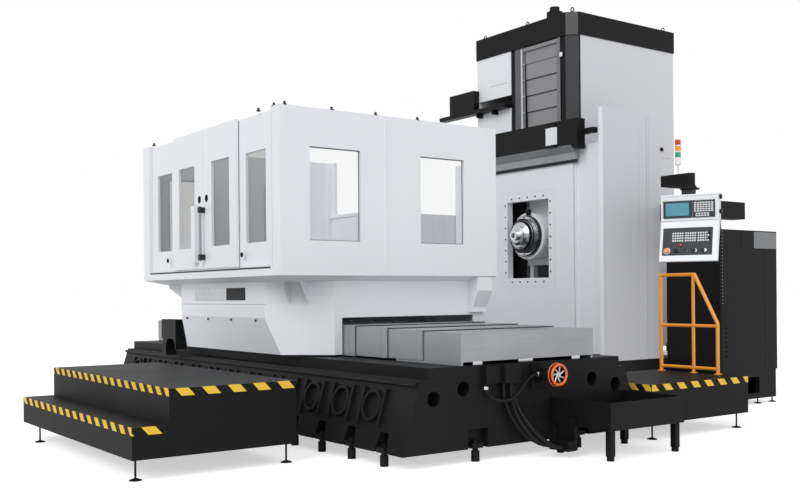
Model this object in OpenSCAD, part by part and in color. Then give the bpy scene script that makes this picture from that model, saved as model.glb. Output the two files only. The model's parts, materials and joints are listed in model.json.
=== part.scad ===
// Table-type horizontal boring and milling machine.
// X runs along the table bed, Y runs from the operator's doors to the column, Z is up.

/* [Table bed] */
// Length of the table bed casting
bed_l = 6910; // [6200:10:7600]
// Width of the bed casting at its foot
bed_foot_w = 2956; // [2800:2:3100]
// Width of the bed casting at its shoulder
bed_top_w = 2570; // [2400:2:2700]
// Height of the sloping side of the bed
bed_side_h = 640; // [560:5:720]
// Height of the way deck above the shoulder
deck_h = 100; // [80:5:120]
// Clear height between the floor and the bed casting
jack_h = 120; // [100:5:150]
// Distance between neighbouring levelling jacks
jack_pitch = 520; // [460:5:600]
// Radius of a jack's pad
jack_r = 38; // [30:1:50]
// Height of a side rib over the casting wall
rib_out = 34; // [20:1:45]
// Radius of the cored openings in the bed's side
core_r = 118; // [90:1:140]

/* [Linear ways] */
// Distance from the bed's centre line to each way
way_off = 620; // [560:5:680]
// Width of a way
way_w = 110; // [90:2:130]
// Height of a way
way_h = 90; // [80:1:96]
// Height of the carriages between way and slide
carriage_h = 60; // [50:1:70]

/* [Way covers] */
// Width of the smallest section of the table way cover
cover_w = 1660; // [1600:2:1760]
// Height of the smallest section of the table way cover
cover_h = 257; // [240:1:280]
// Length of one section of the table way cover
cover_l = 1000; // [960:5:1040]
// Step in height and half width from one section to the next
cover_step = 12; // [10:1:14]
// Thickness of the cover sheet
cover_t = 3; // [2:0.5:4]
// Width of the folded band at the open end of a section
band_w = 124; // [90:2:150]
// Length of one section of the column way cover
zcover_l = 560; // [550:2:570]
// Width of the smallest section of the column way cover
zcover_w = 1640; // [1560:2:1700]

/* [Table slide] */
// Length of the saddle casting along the bed
saddle_l = 1600; // [1500:10:1700]
// Width of the saddle casting across the bed
saddle_w = 1560; // [1500:10:1600]
// Height of the saddle casting
saddle_h = 490; // [460:5:510]
// Side of the square rotary table
table_side = 1400; // [1200:10:1410]
// Thickness of the rotary table
table_t = 190; // [170:2:200]
// Number of T-slots in the rotary table
slot_n = 7; // [5:2:9]
// Width of a T-slot's throat
slot_w = 22; // [18:1:28]
// Length of the sheet skirt round the saddle
skirt_l = 3168; // [3000:4:3300]
// Height of the skirt
skirt_h = 760; // [720:5:800]
// Distance from the bed's centre line to the skirt's operator face
skirt_front = 1500; // [1480:5:1560]
// Distance from the bed's centre line to the skirt's column face
skirt_back = 1029; // [1020:1:1040]
// Leg of the skirt's corner chamfers
skirt_cut = 526; // [450:5:580]
// Height of the leaning lower panel of the skirt
lean_h = 382; // [340:5:420]
// How far the lower panel leans inward at its foot
lean_in = 126; // [100:2:150]
// Thickness of the skirt's walls
skirt_t = 24; // [16:1:30]

/* [Enclosure] */
// How far the splash enclosure reaches past the skirt's ends
enc_over = 181; // [150:1:220]
// Distance from the bed's centre line to the enclosure's door face
enc_front = 1693; // [1660:1:1760]
// Distance from the bed's centre line to the enclosure's open back
enc_back = 1077; // [1060:1:1100]
// Height of the enclosure's walls
enc_h = 1659; // [1600:1:1720]
// Height of the tapered pan under the walls
pan_h = 53; // [40:1:60]
// Thickness of the enclosure's panels
panel_t = 30; // [24:1:36]
// Width of each sliding door
door_w = 820; // [780:5:850]
// Width of a corner post of the door face
post_w = 190; // [170:2:200]
// Width of a door window
pane_w = 440; // [400:5:480]
// Height of every window
pane_h = 930; // [850:5:980]
// Width of a side window
side_pane_w = 602; // [560:2:640]
// Height of a window's lower edge over the foot of the walls
pane_up = 345; // [320:5:380]
// Thickness of the clear panes
pane_t = 6; // [5:0.5:8]
// Height of the low back wall
low_wall_h = 918; // [850:5:960]
// Length of the low back wall
low_wall_l = 705; // [640:5:720]

/* [Column] */
// Distance from the bed's centre line to the sliding spindle wall
wall_y = 3212; // [3160:2:3260]
// Height of the spindle axis over the rotary table
spindle_up = 546; // [520:2:600]
// Half width of the sliding spindle wall
wall_half = 884; // [850:2:920]
// Height of the dark cross beam over the sliding wall
beam_h = 330; // [300:5:360]
// Distance from the spindle axis down to the foot of the sliding wall
wall_down = 1316; // [1280:2:1320]
// Width of the spindle window
window_w = 835; // [800:5:860]
// Height of the spindle window
window_h = 1085; // [1060:5:1120]
// Width of the border of the window frame
frame_w = 118; // [100:2:130]
// Half width of the fixed wall strips beside the sliding wall
strip_half = 1342; // [1320:2:1360]
// Distance from the spindle wall back to the tower's front
tower_gap = 258; // [250:2:270]
// Near half of the tower's width
tower_near = 640; // [636:2:680]
// Far half of the tower's width
tower_far = 1354; // [1320:2:1400]
// Depth of the tower
tower_d = 2120; // [2060:5:2180]
// Height of the tower over the spindle axis
tower_up = 3059; // [3000:5:3120]
// Height of the dark band round the tower's top
band_h = 310; // [280:5:340]
// Height of the tool changer's tray over the spindle axis
tray_up = 1920; // [1880:5:1960]
// Number of sliding slats over the headstock
slat_n = 6; // [6:1:6]
// Height of one visible slat
slat_pitch = 232; // [226:1:236]
// Diameter of the milling spindle flange
flange_d = 570; // [540:5:600]
// Diameter of the boring quill
quill_d = 135; // [120:1:150]
// How far the spindle nose stands in front of the wall
nose_out = 269; // [250:1:280]

/* [Side guards] */
// Height of the near side guard over its dark base
guard_h = 3288; // [3200:10:3350]
// Length of the near side guard
guard_l = 1121; // [1060:5:1160]
// Thickness of the side guards
guard_t = 67; // [50:1:80]
// Height of the guard's dark base
guard_base_h = 500; // [460:5:540]
// Height of the far side guard over its base
far_guard_h = 2100; // [2000:10:2200]
// How far the far side guard reaches before the spindle wall
far_guard_in = 1112; // [1060:4:1160]

/* [Control] */
// Width of the control pendant
pendant_w = 660; // [620:5:700]
// Height of the control pendant
pendant_h = 780; // [740:5:820]
// Length of the pendant's arm
arm_l = 317; // [300:1:360]
// Section height of the pendant's arm
arm_h = 134; // [120:2:150]
// Length of the electrical cabinet's near face
cab_l = 926; // [880:2:980]
// Height of the electrical cabinet
cab_h = 1848; // [1780:2:1900]
// Depth of the electrical cabinet
cab_d = 860; // [820:5:900]

/* [Platforms] */
// Width of the operator's platform
deck_w = 3170; // [3000:10:3300]
// Depth of one tread of the operator's platform
tread_d = 320; // [290:2:350]
// Depth of the upper deck of the operator's platform
upper_d = 1196; // [1100:4:1240]
// Rise of one step
step_rise = 297; // [280:1:310]
// Height of the platform's skirt
platform_skirt_h = 265; // [250:1:280]
// Length of the service platform's near edge
service_l = 1595; // [1500:5:1650]
// Diameter of the railing's tube
rail_d = 42; // [34:1:50]
// Height of the railing over its platform
rail_h = 1134; // [1100:2:1180]

/* [Hidden] */
$fn = 64;

// ---- clearances and small sizes
run_gap = 3;        // between sliding sheets
turn_gap = 0.4;     // under the rotary table
fit_gap = 0.05;     // round a shaft in its bore
seat_gap = 20;      // between the bed's deck and the skirt's foot
cover_up = 32;      // foot of the smallest cover section over the deck
pad_h = 18;         // height of an adjustable foot's pad
pad_r = 52;         // radius of an adjustable foot's pad
stud_r = 9;         // radius of an adjustable foot's stud
bolt_r = 11;        // radius of a bolt head

// ---- heights of the table side
bed_foot_y = bed_foot_w/2;
bed_top_y = bed_top_w/2;
bed_x = bed_l/2;
shoulder_z = jack_h + bed_side_h;
deck_z = shoulder_z + deck_h;
way_z = deck_z + way_h;
saddle_z = way_z + carriage_h;
saddle_top = saddle_z + saddle_h;
skirt_z = deck_z + seat_gap;
skirt_top = skirt_z + skirt_h;
enc_z = skirt_top + pan_h;
enc_top = enc_z + enc_h;
table_top = enc_z + 57;
table_z = table_top - table_t;
screw_z = deck_z + 70;
screw_r = 32;
slide_angle = atan((bed_foot_y - bed_top_y)/bed_side_h);
slide_len = bed_side_h/cos(slide_angle);

// ---- places of the table way covers
cover_z = deck_z + cover_up;
cover_n = 3;                     // largest section's number, counted from 0 at the bed's end
cover_span = bed_x - saddle_l/2; // from the saddle's end to the bed's end
cover_pitch = (cover_span - cover_l)/cover_n;
big_cover_y = cover_w/2 + cover_n*cover_step;
big_cover_z = cover_z + cover_h + cover_n*cover_step;
hood_z = skirt_z + lean_h - 2;   // foot of the skirt's end hood over the way cover
enc_l = skirt_l + 2*enc_over;

// ---- column side
zbed_top = shoulder_z - 200;
zrail_h = 70;
zrail_z = zbed_top + zrail_h;
column_z = zrail_z + 30;
zcover_h = 89;
zcover_n = 3;
zcover_z = zbed_top + zcover_h + zcover_n*cover_step; // top of the largest section
spindle_z = table_top + spindle_up;
wall_t = 40;
wall_z = spindle_z - wall_down;
strip_y = wall_y + wall_t + run_gap;
strip_t = 30;
strip_z = zcover_z + 9;
hood_low = spindle_z + 929;    // lip of the hood that wipes the sliding wall
hood_h = 225;
strip_top = hood_low + hood_h;
wall_top = strip_top + beam_h;
tower_y = wall_y + tower_gap;
tower_back = tower_y + tower_d;
tower_top = spindle_z + tower_up;
band_z = tower_top - band_h;
tower_t = 30;
far_strip = strip_half + 308;    // half width of the far wall strip
upright_in = 440;                // inner half width between the column's uprights
upright_out = 590;               // outer half width of the column
column_y = tower_y + tower_t + 80;
column_d = 1600;
column_top = tower_top - 160;
zcover_end = column_y - run_gap;     // where the column's cover section ends
zcover_y = bed_foot_y + 20;
zcover_pitch = (zcover_end - zcover_y - zcover_l)/zcover_n;
zbed_end = tower_back - 60;

// ---- slats over the headstock
slat_w = 650;
slat_lap = 70;
slat_t = 5;
slat_step = 10;
slat_top = band_z - 12;

// ---- spindle
nose_y = wall_y - nose_out;
flange_y = wall_y - 58;
quill_r = quill_d/2;
quill_l = 1500;

// ---- guards, duct, cabinet and pendant
guard_x = strip_half + run_gap;
guard_out = guard_x + guard_t;
guard_foot_z = 100;
guard_z = guard_foot_z + guard_base_h + 2;
guard_top = guard_z + guard_h;
guard_end = wall_y + guard_l;
far_guard_x = far_strip + 13;
far_guard_y = wall_y - far_guard_in;
far_guard_top = guard_z + far_guard_h;
cab_x = guard_out + 61 + cab_d;
cab_y = guard_end + 65;
cab_end = cab_y + cab_l;
cab_foot_z = 73;
cab_z = cab_foot_z + 375;
cab_top = cab_z + cab_h;
cab_rear = cab_end + 272;
arm_y = wall_y + 78;
arm_half = 62;
arm_crank = 330;
arm_x = guard_out + 981;
pivot_y = arm_y + arm_crank;
post_x = arm_x + arm_l;
pendant_x = post_x - pendant_w/2 + 45;
pendant_y = wall_y - 142;
pendant_turn = 25;
pendant_top = spindle_z + 334;
pendant_z = pendant_top - pendant_h;
arm_z = pendant_top + 135;
key_lean = 115;
key_z = pendant_top - 310;

// ---- platforms
deck_x = skirt_l/2 + 906;
deck_far_x = deck_x - deck_w;
deck_y = -enc_front - 251;
step_y = deck_y - upper_d;
front_y = step_y - tread_d;
platform_z = 175;
low_deck_z = platform_z + platform_skirt_h;
high_deck_z = low_deck_z + step_rise;
plate_t = 6;
service_x = bed_x + 155;
service_y = 1508;
service_depth = 1290;
service_z = 165;
service_top = service_z + 396;
box_x = bed_x + 25;
box_l = 740;
box_y = 230;
box_w = 1003;
box_z = 272;
box_top = box_z + 249;

deck_foot_x = [deck_x - 90, deck_far_x + 390];
deck_foot_y = [front_y + 60, deck_y - 60];
service_foot_x = [service_x - 78, service_x - service_depth + 80];
service_foot_y = [service_y + 90, service_y + service_l - 105];
cab_foot_x = [cab_x - 55, cab_x - cab_d + 45];
cab_foot_y = [cab_y + 40, cab_end - 98, cab_rear - 45];

// ---- the whole machine's box, whose bottom centre is the origin
mid_x = (box_x + box_l - bed_x)/2;
mid_y = (max(cab_rear, tower_back + 12) + front_y)/2;

// ---- hose routes along the middle of each hose, from gland to gland
hose_d = 36;
loop_d = 30;

module block(lo, hi) translate(lo) cube(hi - lo);

module placed() translate([-mid_x, -mid_y, 0]) children();

// a plate in the XZ plane, cut by windows given as [x0, z0, x1, z1]
module pierced(lo, hi, holes) {
  difference() {
    block(lo, hi);
    for (h = holes) block([h[0], lo[1] - 1, h[1]], [h[2], hi[1] + 1, h[3]]);
  }
}

// a plate in the YZ plane, cut by windows given as [y0, z0, y1, z1]
module pierced_side(lo, hi, holes) {
  difference() {
    block(lo, hi);
    for (h = holes) block([lo[0] - 1, h[0], h[1]], [hi[0] + 1, h[2], h[3]]);
  }
}

// -------------------------------------------- table bed

// frame of the sloping operator side: x along the bed, y up the slope, z out of the casting
module on_slope() {
  translate([0, -bed_foot_y, jack_h]) rotate([90 - slide_angle, 0, 0]) children();
}

module bed_profile() {
  polygon([[-bed_foot_y, jack_h], [bed_foot_y, jack_h], [bed_top_y, shoulder_z],
           [bed_top_y - 90, shoulder_z], [bed_top_y - 90, deck_z], [-bed_top_y + 90, deck_z],
           [-bed_top_y + 90, shoulder_z], [-bed_top_y, shoulder_z]]);
}

jack_n = floor((bed_l - 664)/jack_pitch);
function jack_x(i) = (i - jack_n/2)*jack_pitch;
pocket_w = 190;
pocket_top = 130;
pocket_h = 175;
pocket_deep = 70;

module slope_rib(x, y0, y1, w) {
  translate([x - w/2, y0, -20]) cube([w, y1 - y0, 20 + rib_out]);
}

module slope_side() {
  on_slope() {
    for (i = [0:jack_n - 1]) {
      x = (jack_x(i) + jack_x(i + 1))/2;
      slope_rib(x - 168, 225, 560, 34);
      slope_rib(x + 168, 225, 560, 34);
      translate([x, 400, -20]) difference() {
        cylinder(r = core_r + 26, h = 20 + rib_out);
        translate([0, 0, -1]) cylinder(r = core_r, h = 22 + rib_out + 1);
      }
    }
    translate([-bed_x + 20, slide_len - 60, -20]) cube([bed_l - 40, 34, 20 + rib_out]);
  }
}

module slope_cuts() {
  on_slope() {
    for (i = [0:jack_n - 1]) {
      x = (jack_x(i) + jack_x(i + 1))/2;
      translate([x, 400, -12]) cylinder(r = core_r - 8, h = 60);
    }
  }
  for (i = [0:jack_n]) pocket_cut(jack_x(i));
}

// foot pocket: a tapered recess that opens to the floor
module pocket_cut(x) {
  translate([x, -bed_foot_y - 1, jack_h - 1]) rotate([90, 0, 0]) mirror([0, 0, 1])
    linear_extrude(pocket_deep + 60)
      polygon([[-pocket_w/2, 0], [pocket_w/2, 0], [pocket_top/2, pocket_h], [-pocket_top/2, pocket_h]]);
}

module jack_lugs() {
  for (i = [0:jack_n]) translate([jack_x(i) - 60, -bed_foot_y + 2, jack_h]) cube([120, 150, 46]);
}

end_jack_x = bed_x - 42;
end_jack_y = 646;
side_jack_y = bed_foot_y - jack_r - 6;

// places of the side jacks, which leave out the joint with the column bed
jack_spots = [for (i = [0:jack_n], s = [-1, 1])
  if (s < 0 || abs(jack_x(i)) > guard_x) [jack_x(i), s*side_jack_y]];

module x_bed() color([0.05, 0.05, 0.055]) {
  difference() {
    union() {
      difference() {
        union() {
          translate([-bed_x, 0, 0]) rotate([90, 0, 90]) linear_extrude(bed_l) bed_profile();
          for (s = [0, 1]) mirror([0, s, 0]) slope_side();
        }
        for (s = [0, 1]) mirror([0, s, 0]) slope_cuts();
      }
      for (s = [0, 1]) mirror([0, s, 0]) jack_lugs();
      // joint pad for the column bed
      block([-1100, bed_top_y - 60, jack_h], [1100, bed_foot_y, zbed_top]);
    }
    // end cores, end foot pockets and jack bores
    for (e = [-1, 1]) {
      for (c = [[-1143, 589], [-809, 658], [809, 658], [1143, 589]])
        translate([e*(bed_x - 160), c[0], c[1]]) rotate([0, e*90, 0]) cylinder(r = 68, h = 161);
      for (y = [-end_jack_y, end_jack_y])
        block([e*bed_x - 80, y - 115, jack_h - 1], [e*bed_x + 80, y + 115, jack_h + 175]);
    }
    for (p = jack_spots) translate([p[0], p[1], jack_h - 1]) cylinder(r = 17, h = 60);
  }
  for (e = [-1, 1], s = [-1, 1]) difference() {
    block([e*end_jack_x - 40, s*end_jack_y - 60, jack_h],
          [e*end_jack_x + 40, s*end_jack_y + 60, jack_h + 46]);
    translate([e*end_jack_x, s*end_jack_y, jack_h - 1]) cylinder(r = 17, h = 60);
  }
}

// -------------------------------------------- ways and feet

module way(l, z0) {
  // a rail with its two rolling grooves
  difference() {
    translate([-l/2, -way_w/2, z0]) cube([l, way_w, way_h]);
    for (s = [-1, 1])
      translate([-l/2 - 1, s*way_w/2, z0 + way_h - 34]) rotate([0, 90, 0])
        cylinder(r = 11, h = l + 2, $fn = 32);
  }
}

module column_way(x) {
  difference() {
    block([x - way_w/2, zcover_y + 30, zbed_top], [x + way_w/2, zbed_end - 60, zrail_z]);
    for (s = [-1, 1])
      translate([x + s*way_w/2, zcover_y, zrail_z - 28]) rotate([-90, 0, 0])
        cylinder(r = 9, h = zbed_end, $fn = 32);
  }
}

module ways() color([0.6, 0.61, 0.63]) {
  for (s = [-1, 1]) {
    translate([0, s*way_off, 0]) way(bed_l - 60, deck_z);
    column_way(s*way_off);
  }
  // table screw in its end bearings
  translate([-bed_x + 40, 0, screw_z]) rotate([0, 90, 0]) cylinder(r = screw_r, h = bed_l - 80);
  for (e = [-1, 1]) block([e*(bed_x - 130) - 60, -90, deck_z], [e*(bed_x - 130) + 60, 90, deck_z + 130]);
}

// levelling jack: pad, body, screw and nut
module jack(h) {
  cylinder(r = jack_r, h = h - 26);
  translate([0, 0, h - 26]) cylinder(r = 26, h = 26, $fn = 6);
  cylinder(r = 15, h = h + 78);
  translate([0, 0, h + 46]) cylinder(r = 27, h = 20, $fn = 6);
}

// slim adjustable foot: swivel pad and stud
module foot(h) {
  rotate_extrude() polygon([[0, 0], [pad_r, 0], [pad_r, 6], [18, pad_h], [0, pad_h]]);
  cylinder(r = stud_r, h = h);
}

zbed_jack_n = 5;
function zbed_jack_y(i) = zcover_y + 260 + i*(zbed_end - zcover_y - 420)/(zbed_jack_n - 1);

module levelling_feet() color([0.06, 0.06, 0.065]) {
  for (p = jack_spots) translate([p[0], p[1], 0]) jack(jack_h);
  for (e = [-1, 1], s = [-1, 1]) translate([e*end_jack_x, s*end_jack_y, 0]) jack(jack_h);
  for (i = [0:zbed_jack_n - 1], s = [-1, 1])
    translate([s*(guard_x - 70), zbed_jack_y(i), 0]) jack(jack_h);
  for (x = deck_foot_x, y = deck_foot_y) translate([x, y, 0]) foot(platform_z);
  for (x = service_foot_x, y = service_foot_y) translate([x, y, 0]) foot(service_z);
  for (x = cab_foot_x, y = cab_foot_y) translate([x, y, 0]) foot(cab_foot_z);
  for (y = [wall_y + 140, guard_end - 140]) translate([guard_x + guard_t/2, y, 0]) foot(guard_foot_z);
}

module z_bed() color([0.05, 0.05, 0.055]) {
  difference() {
    union() {
      translate([0, zbed_end, 0]) rotate([90, 0, 0]) linear_extrude(zbed_end - bed_foot_y)
        polygon([[-guard_x, jack_h], [guard_x, jack_h], [guard_x, jack_h + 90],
                 [1130, jack_h + 170], [1050, zbed_top], [-1050, zbed_top],
                 [-1130, jack_h + 170], [-guard_x, jack_h + 90]]);
      for (i = [0:zbed_jack_n - 1], s = [-1, 1])
        block([s*1150 - 40, zbed_jack_y(i) + 120, jack_h + 40],
              [s*1150 + 40, zbed_jack_y(i) + 170, jack_h + 300]);
    }
    for (i = [0:zbed_jack_n - 1], s = [-1, 1])
      translate([s*(guard_x - 70), zbed_jack_y(i), jack_h - 1]) {
        cylinder(r = 17, h = 100);
        translate([0, 0, 45]) cylinder(r = 44, h = 80);
      }
  }
}

// -------------------------------------------- way covers

function cover_top(k) = cover_z + cover_h + k*cover_step;
function cover_half(k) = cover_w/2 + k*cover_step;
function cover_foot(k) = cover_z - k*6;

// one folded cover section: k counts from the smallest, the band is at its open +X end
module cover_section(k, closed) {
  y = cover_half(k);
  difference() {
    union() {
      block([0, -y, cover_foot(k)], [cover_l, y, cover_top(k)]);
      // folded band round the open end
      block([cover_l - band_w, -y - 2, cover_foot(k)], [cover_l, y + 2, cover_top(k) + 2]);
    }
    block([-1, -y + cover_t, cover_foot(k) - 1], [cover_l + 1, y - cover_t, cover_top(k) - cover_t]);
    // groove between the band's two folds
    difference() {
      block([cover_l - band_w + 22, -y - 3, cover_foot(k) - 1], [cover_l - 22, y + 3, cover_top(k) + 3]);
      block([0, -y, cover_foot(k) - 2], [cover_l + 1, y, cover_top(k)]);
    }
  }
  if (closed) block([cover_l - 4, -y + 1, cover_foot(k)], [cover_l, y - 1, cover_top(k) - 1]);
}

// the near side's section k at rest; the far side is its mirror image
module near_section(k) {
  translate([bed_x - cover_l - k*cover_pitch, 0, 0]) cover_section(k, k == 0);
}

module zcover_section(k) {
  x = zcover_w/2 + k*cover_step;
  top = zbed_top + zcover_h + k*cover_step;
  y0 = zcover_y + k*zcover_pitch;
  difference() {
    block([-x, y0, zbed_top + 6], [x, y0 + zcover_l, top]);
    block([-x + cover_t, y0 - 1, zbed_top], [x - cover_t, y0 + zcover_l + 1, top - cover_t]);
  }
}

module fixed_covers() color([0.55, 0.56, 0.57]) {
  for (s = [0, 1]) mirror([s, 0, 0]) near_section(0);
  zcover_section(0);
  // foot strips that carry the fixed sections on the bed's deck
  for (s = [-1, 1]) {
    for (e = [-1, 1])
      block([e*(bed_x - cover_l/2) - cover_l/2 + 8, s*(cover_w/2 - 13) - 10, deck_z],
            [e*(bed_x - cover_l/2) + cover_l/2 - 8, s*(cover_w/2 - 13) + 10, cover_z + 60]);
    block([s*(zcover_w/2 - 13) - 10, zcover_y + 4, zbed_top],
          [s*(zcover_w/2 - 13) + 10, zcover_y + zcover_l - 4, zbed_top + 60]);
  }
}

module saddle_covers() color([0.55, 0.56, 0.57])
  for (s = [0, 1]) mirror([s, 0, 0]) near_section(cover_n);
module near_cover_a() color([0.55, 0.56, 0.57]) near_section(1);
module near_cover_b() color([0.55, 0.56, 0.57]) near_section(2);
module far_cover_a() color([0.55, 0.56, 0.57]) mirror([1, 0, 0]) near_section(1);
module far_cover_b() color([0.55, 0.56, 0.57]) mirror([1, 0, 0]) near_section(2);
module column_cover() color([0.55, 0.56, 0.57]) zcover_section(zcover_n);
module column_cover_a() color([0.55, 0.56, 0.57]) zcover_section(1);
module column_cover_b() color([0.55, 0.56, 0.57]) zcover_section(2);

// -------------------------------------------- table slide

module saddle() color([0.2, 0.21, 0.22]) {
  difference() {
    union() {
      block([-saddle_l/2, -saddle_w/2, saddle_z], [saddle_l/2, saddle_w/2, saddle_top]);
      translate([0, 0, saddle_top]) cylinder(r = 600, h = table_z - turn_gap - saddle_top);
      // beams that carry the pan and the skirt
      for (s = [-1, 1]) {
        block([-skirt_l/2 + skirt_t, s*(saddle_w/2 - 60) - 60, saddle_top],
              [skirt_l/2 - skirt_t, s*(saddle_w/2 - 60) + 60, skirt_top]);
        block([s*saddle_l/2 - 60, -skirt_front + skirt_t, saddle_top],
              [s*saddle_l/2 + 60, skirt_back - skirt_t, skirt_top]);
      }
    }
    // well of the rotary table
    translate([0, 0, table_z - turn_gap]) cylinder(r = table_side*0.7072 + 8, h = 400);
  }
  // nut on the table screw
  difference() {
    block([-120, -80, deck_z + 12], [120, 80, saddle_z]);
    translate([-121, 0, screw_z]) rotate([0, 90, 0]) cylinder(r = screw_r + fit_gap, h = 242);
  }
  // carriages on the ways
  for (e = [-1, 1], s = [-1, 1]) {
    x = e*(saddle_l/2 - 170);
    difference() {
      block([x - 150, s*way_off - 110, deck_z + 24], [x + 150, s*way_off + 110, saddle_z]);
      block([x - 151, s*way_off - way_w/2 - 0.5, deck_z], [x + 151, s*way_off + way_w/2 + 0.5, way_z + 0.5]);
    }
  }
}

// plan of the skirt, moved inward by g
module skirt_plan(g) {
  x = skirt_l/2 - g;
  c = skirt_cut - g*0.59;
  polygon([[-x + c, -skirt_front + g], [x - c, -skirt_front + g], [x, -skirt_front + g + c],
           [x, skirt_back - g], [-x, skirt_back - g], [-x, -skirt_front + g + c]]);
}

module lean_cut(g) {
  // removes what lies outside the leaning lower panel of the operator face
  translate([0, -skirt_front + g, skirt_z + lean_h]) rotate([atan(lean_in/lean_h), 0, 0])
    translate([-skirt_l, -1000, -1000]) cube([2*skirt_l, 1000, 1000]);
}

module skirt_solid(g, z0, z1) {
  difference() {
    translate([0, 0, z0]) linear_extrude(z1 - z0) skirt_plan(g);
    lean_cut(g);
  }
}

module skirt() color([0.82, 0.83, 0.84]) {
  difference() {
    skirt_solid(0, skirt_z, skirt_top);
    skirt_solid(skirt_t, skirt_z - 1, skirt_top + 1);
    // way cover openings in both ends
    block([-skirt_l, -big_cover_y - 14, skirt_z - 1], [skirt_l, big_cover_y + 14, hood_z]);
    // seams between the sheets
    for (z = [skirt_z + lean_h, skirt_z + lean_h + 137])
      difference() {
        translate([0, 0, z - 1.5]) linear_extrude(3) skirt_plan(-5);
        translate([0, 0, z - 3]) linear_extrude(6) skirt_plan(3);
      }
  }
}

// gusset under the enclosure's corner, bolted to the skirt's chamfer
module corner_gusset() {
  w = 190;
  translate([skirt_l/2 - skirt_cut/2, -skirt_front + skirt_cut/2, 0]) rotate([0, 0, 45]) {
    for (s = [-1, 1])
      translate([s*w/2 - 4, 0, 0]) rotate([90, 0, 90]) linear_extrude(8)
        polygon([[0, skirt_top - 240], [0, skirt_top - 4], [-270, skirt_top - 4], [-270, skirt_top - 44]]);
    block([-w/2, -4, skirt_top - 240], [w/2, 0, skirt_top - 4]);
    block([-w/2 - 20, -280, skirt_top - 7], [w/2 + 20, 0, skirt_top - 1]);
  }
}

drip_w = enc_over - 11;   // reach of the drip boxes past the skirt
pan_slope = (pan_h - 1)/enc_over;

module skirt_brackets() color([0.8, 0.81, 0.82]) {
  for (s = [0, 1]) mirror([s, 0, 0]) {
    corner_gusset();
    // folded drip box at the column-side corner
    difference() {
      translate([skirt_l/2, skirt_back - 10, 0]) rotate([90, 0, 0]) linear_extrude(210)
        polygon([[0, skirt_top - 350], [70, skirt_top - 350], [70, skirt_top - 300],
                 [drip_w, skirt_top - 110], [drip_w, skirt_top + drip_w*pan_slope - 3], [0, skirt_top - 1]]);
      translate([skirt_l/2, skirt_back - 14, 0]) rotate([90, 0, 0]) linear_extrude(202)
        polygon([[4, skirt_top - 351], [66, skirt_top - 351], [66, skirt_top - 299],
                 [drip_w - 4, skirt_top - 109], [drip_w - 4, skirt_top + (drip_w - 4)*pan_slope - 7],
                 [4, skirt_top - 5]]);
    }
  }
}

side_y1 = enc_front - 335;      // first edge of the first side window
side_windows = [[-side_y1, -side_y1 + side_pane_w], [10, 10 + side_pane_w]];
win_z = enc_z + pane_up;
door_z = enc_z + 107;
door_top = enc_top - 8;
door_gap = 2;
door_t = panel_t;
fixed_y = -enc_front + door_t + pane_t + 7;  // front of the fixed panels behind the doors
fixed_x = door_w - 60;                       // inner edge of a fixed panel
door_reach = enc_l/2 - post_w - door_w - run_gap; // how far a door opens
front_windows = [door_w + 140, door_w + 140 + pane_w];
door_windows = [220, 220 + pane_w];
rim = 24;                                    // how far a pane laps over its window's edge

module enclosure() color([0.84, 0.85, 0.86]) {
  // tapered pan
  difference() {
    hull() {
      translate([-skirt_l/2, -skirt_front + 4, skirt_top]) cube([skirt_l, skirt_front + skirt_back - 4, 1]);
      translate([-enc_l/2, -enc_front, enc_z - 1]) cube([enc_l, enc_front + enc_back, 1]);
    }
    translate([0, 0, skirt_top - 1]) cylinder(r = table_side*0.7072 + 10, h = pan_h + 2);
  }
  for (s = [0, 1]) mirror([s, 0, 0]) {
    // corner post, fixed panel and side wall
    block([enc_l/2 - post_w, -enc_front, enc_z], [enc_l/2, -enc_front + panel_t + 40, enc_top]);
    pierced([fixed_x, fixed_y, enc_z], [enc_l/2 - post_w, fixed_y + panel_t, enc_top - 20],
            [[front_windows[0], win_z, front_windows[1], win_z + pane_h]]);
    pierced_side([enc_l/2 - 40, -enc_front, enc_z], [enc_l/2, enc_back, enc_top],
                 [for (w = side_windows) [w[0], win_z, w[1], win_z + pane_h]]);
    // inner stiffening posts of the side wall
    for (y = [-447, enc_back - 60])
      block([enc_l/2 - 70, y - 45, enc_z], [enc_l/2 - 40, y + 45, enc_top - 60]);
  }
  // sill and header of the doors
  block([-enc_l/2, -enc_front, enc_z], [enc_l/2, -enc_front + door_t, door_z - 14]);
  block([-fixed_x - 40, fixed_y, door_top - 110], [fixed_x + 40, fixed_y + panel_t, door_top - 30]);
  // back: low wall on the far side, return flanges
  block([-enc_l/2 + 20, enc_back - 40, enc_z], [-enc_l/2 + low_wall_l, enc_back, enc_z + low_wall_h]);
  block([-enc_l/2 + 20, enc_back - 60, enc_z + low_wall_h - 40],
        [-enc_l/2 + low_wall_l, enc_back, enc_z + low_wall_h]);
  block([enc_l/2 - 160, enc_back - 30, enc_z], [enc_l/2 - 20, enc_back, enc_top]);
  block([-enc_l/2 + 20, enc_back - 30, enc_z], [-enc_l/2 + 160, enc_back, enc_top]);
}

// clear panes on the inner faces of the fixed windows
module enclosure_panes() color([0.8, 0.87, 0.9, 0.3])
  for (s = [0, 1]) mirror([s, 0, 0]) {
    block([front_windows[0] - rim, fixed_y + panel_t, win_z - rim],
          [front_windows[1] + rim, fixed_y + panel_t + pane_t, win_z + pane_h + rim]);
    for (w = side_windows)
      block([enc_l/2 - 40 - pane_t, w[0] - rim, win_z - rim],
            [enc_l/2 - 40, w[1] + rim, win_z + pane_h + rim]);
  }

// the right-hand sliding door; the left one is its mirror image apart from the pull
module door_leaf() {
  difference() {
    pierced([door_gap, -enc_front, door_z], [door_w, -enc_front + door_t, door_top],
            [[door_windows[0], win_z, door_windows[1], win_z + pane_h]]);
    // round finger pull near the closing edge
    translate([92, -enc_front - 1, win_z + 537]) rotate([-90, 0, 0]) cylinder(r = 42, h = 19);
  }
}

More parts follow.
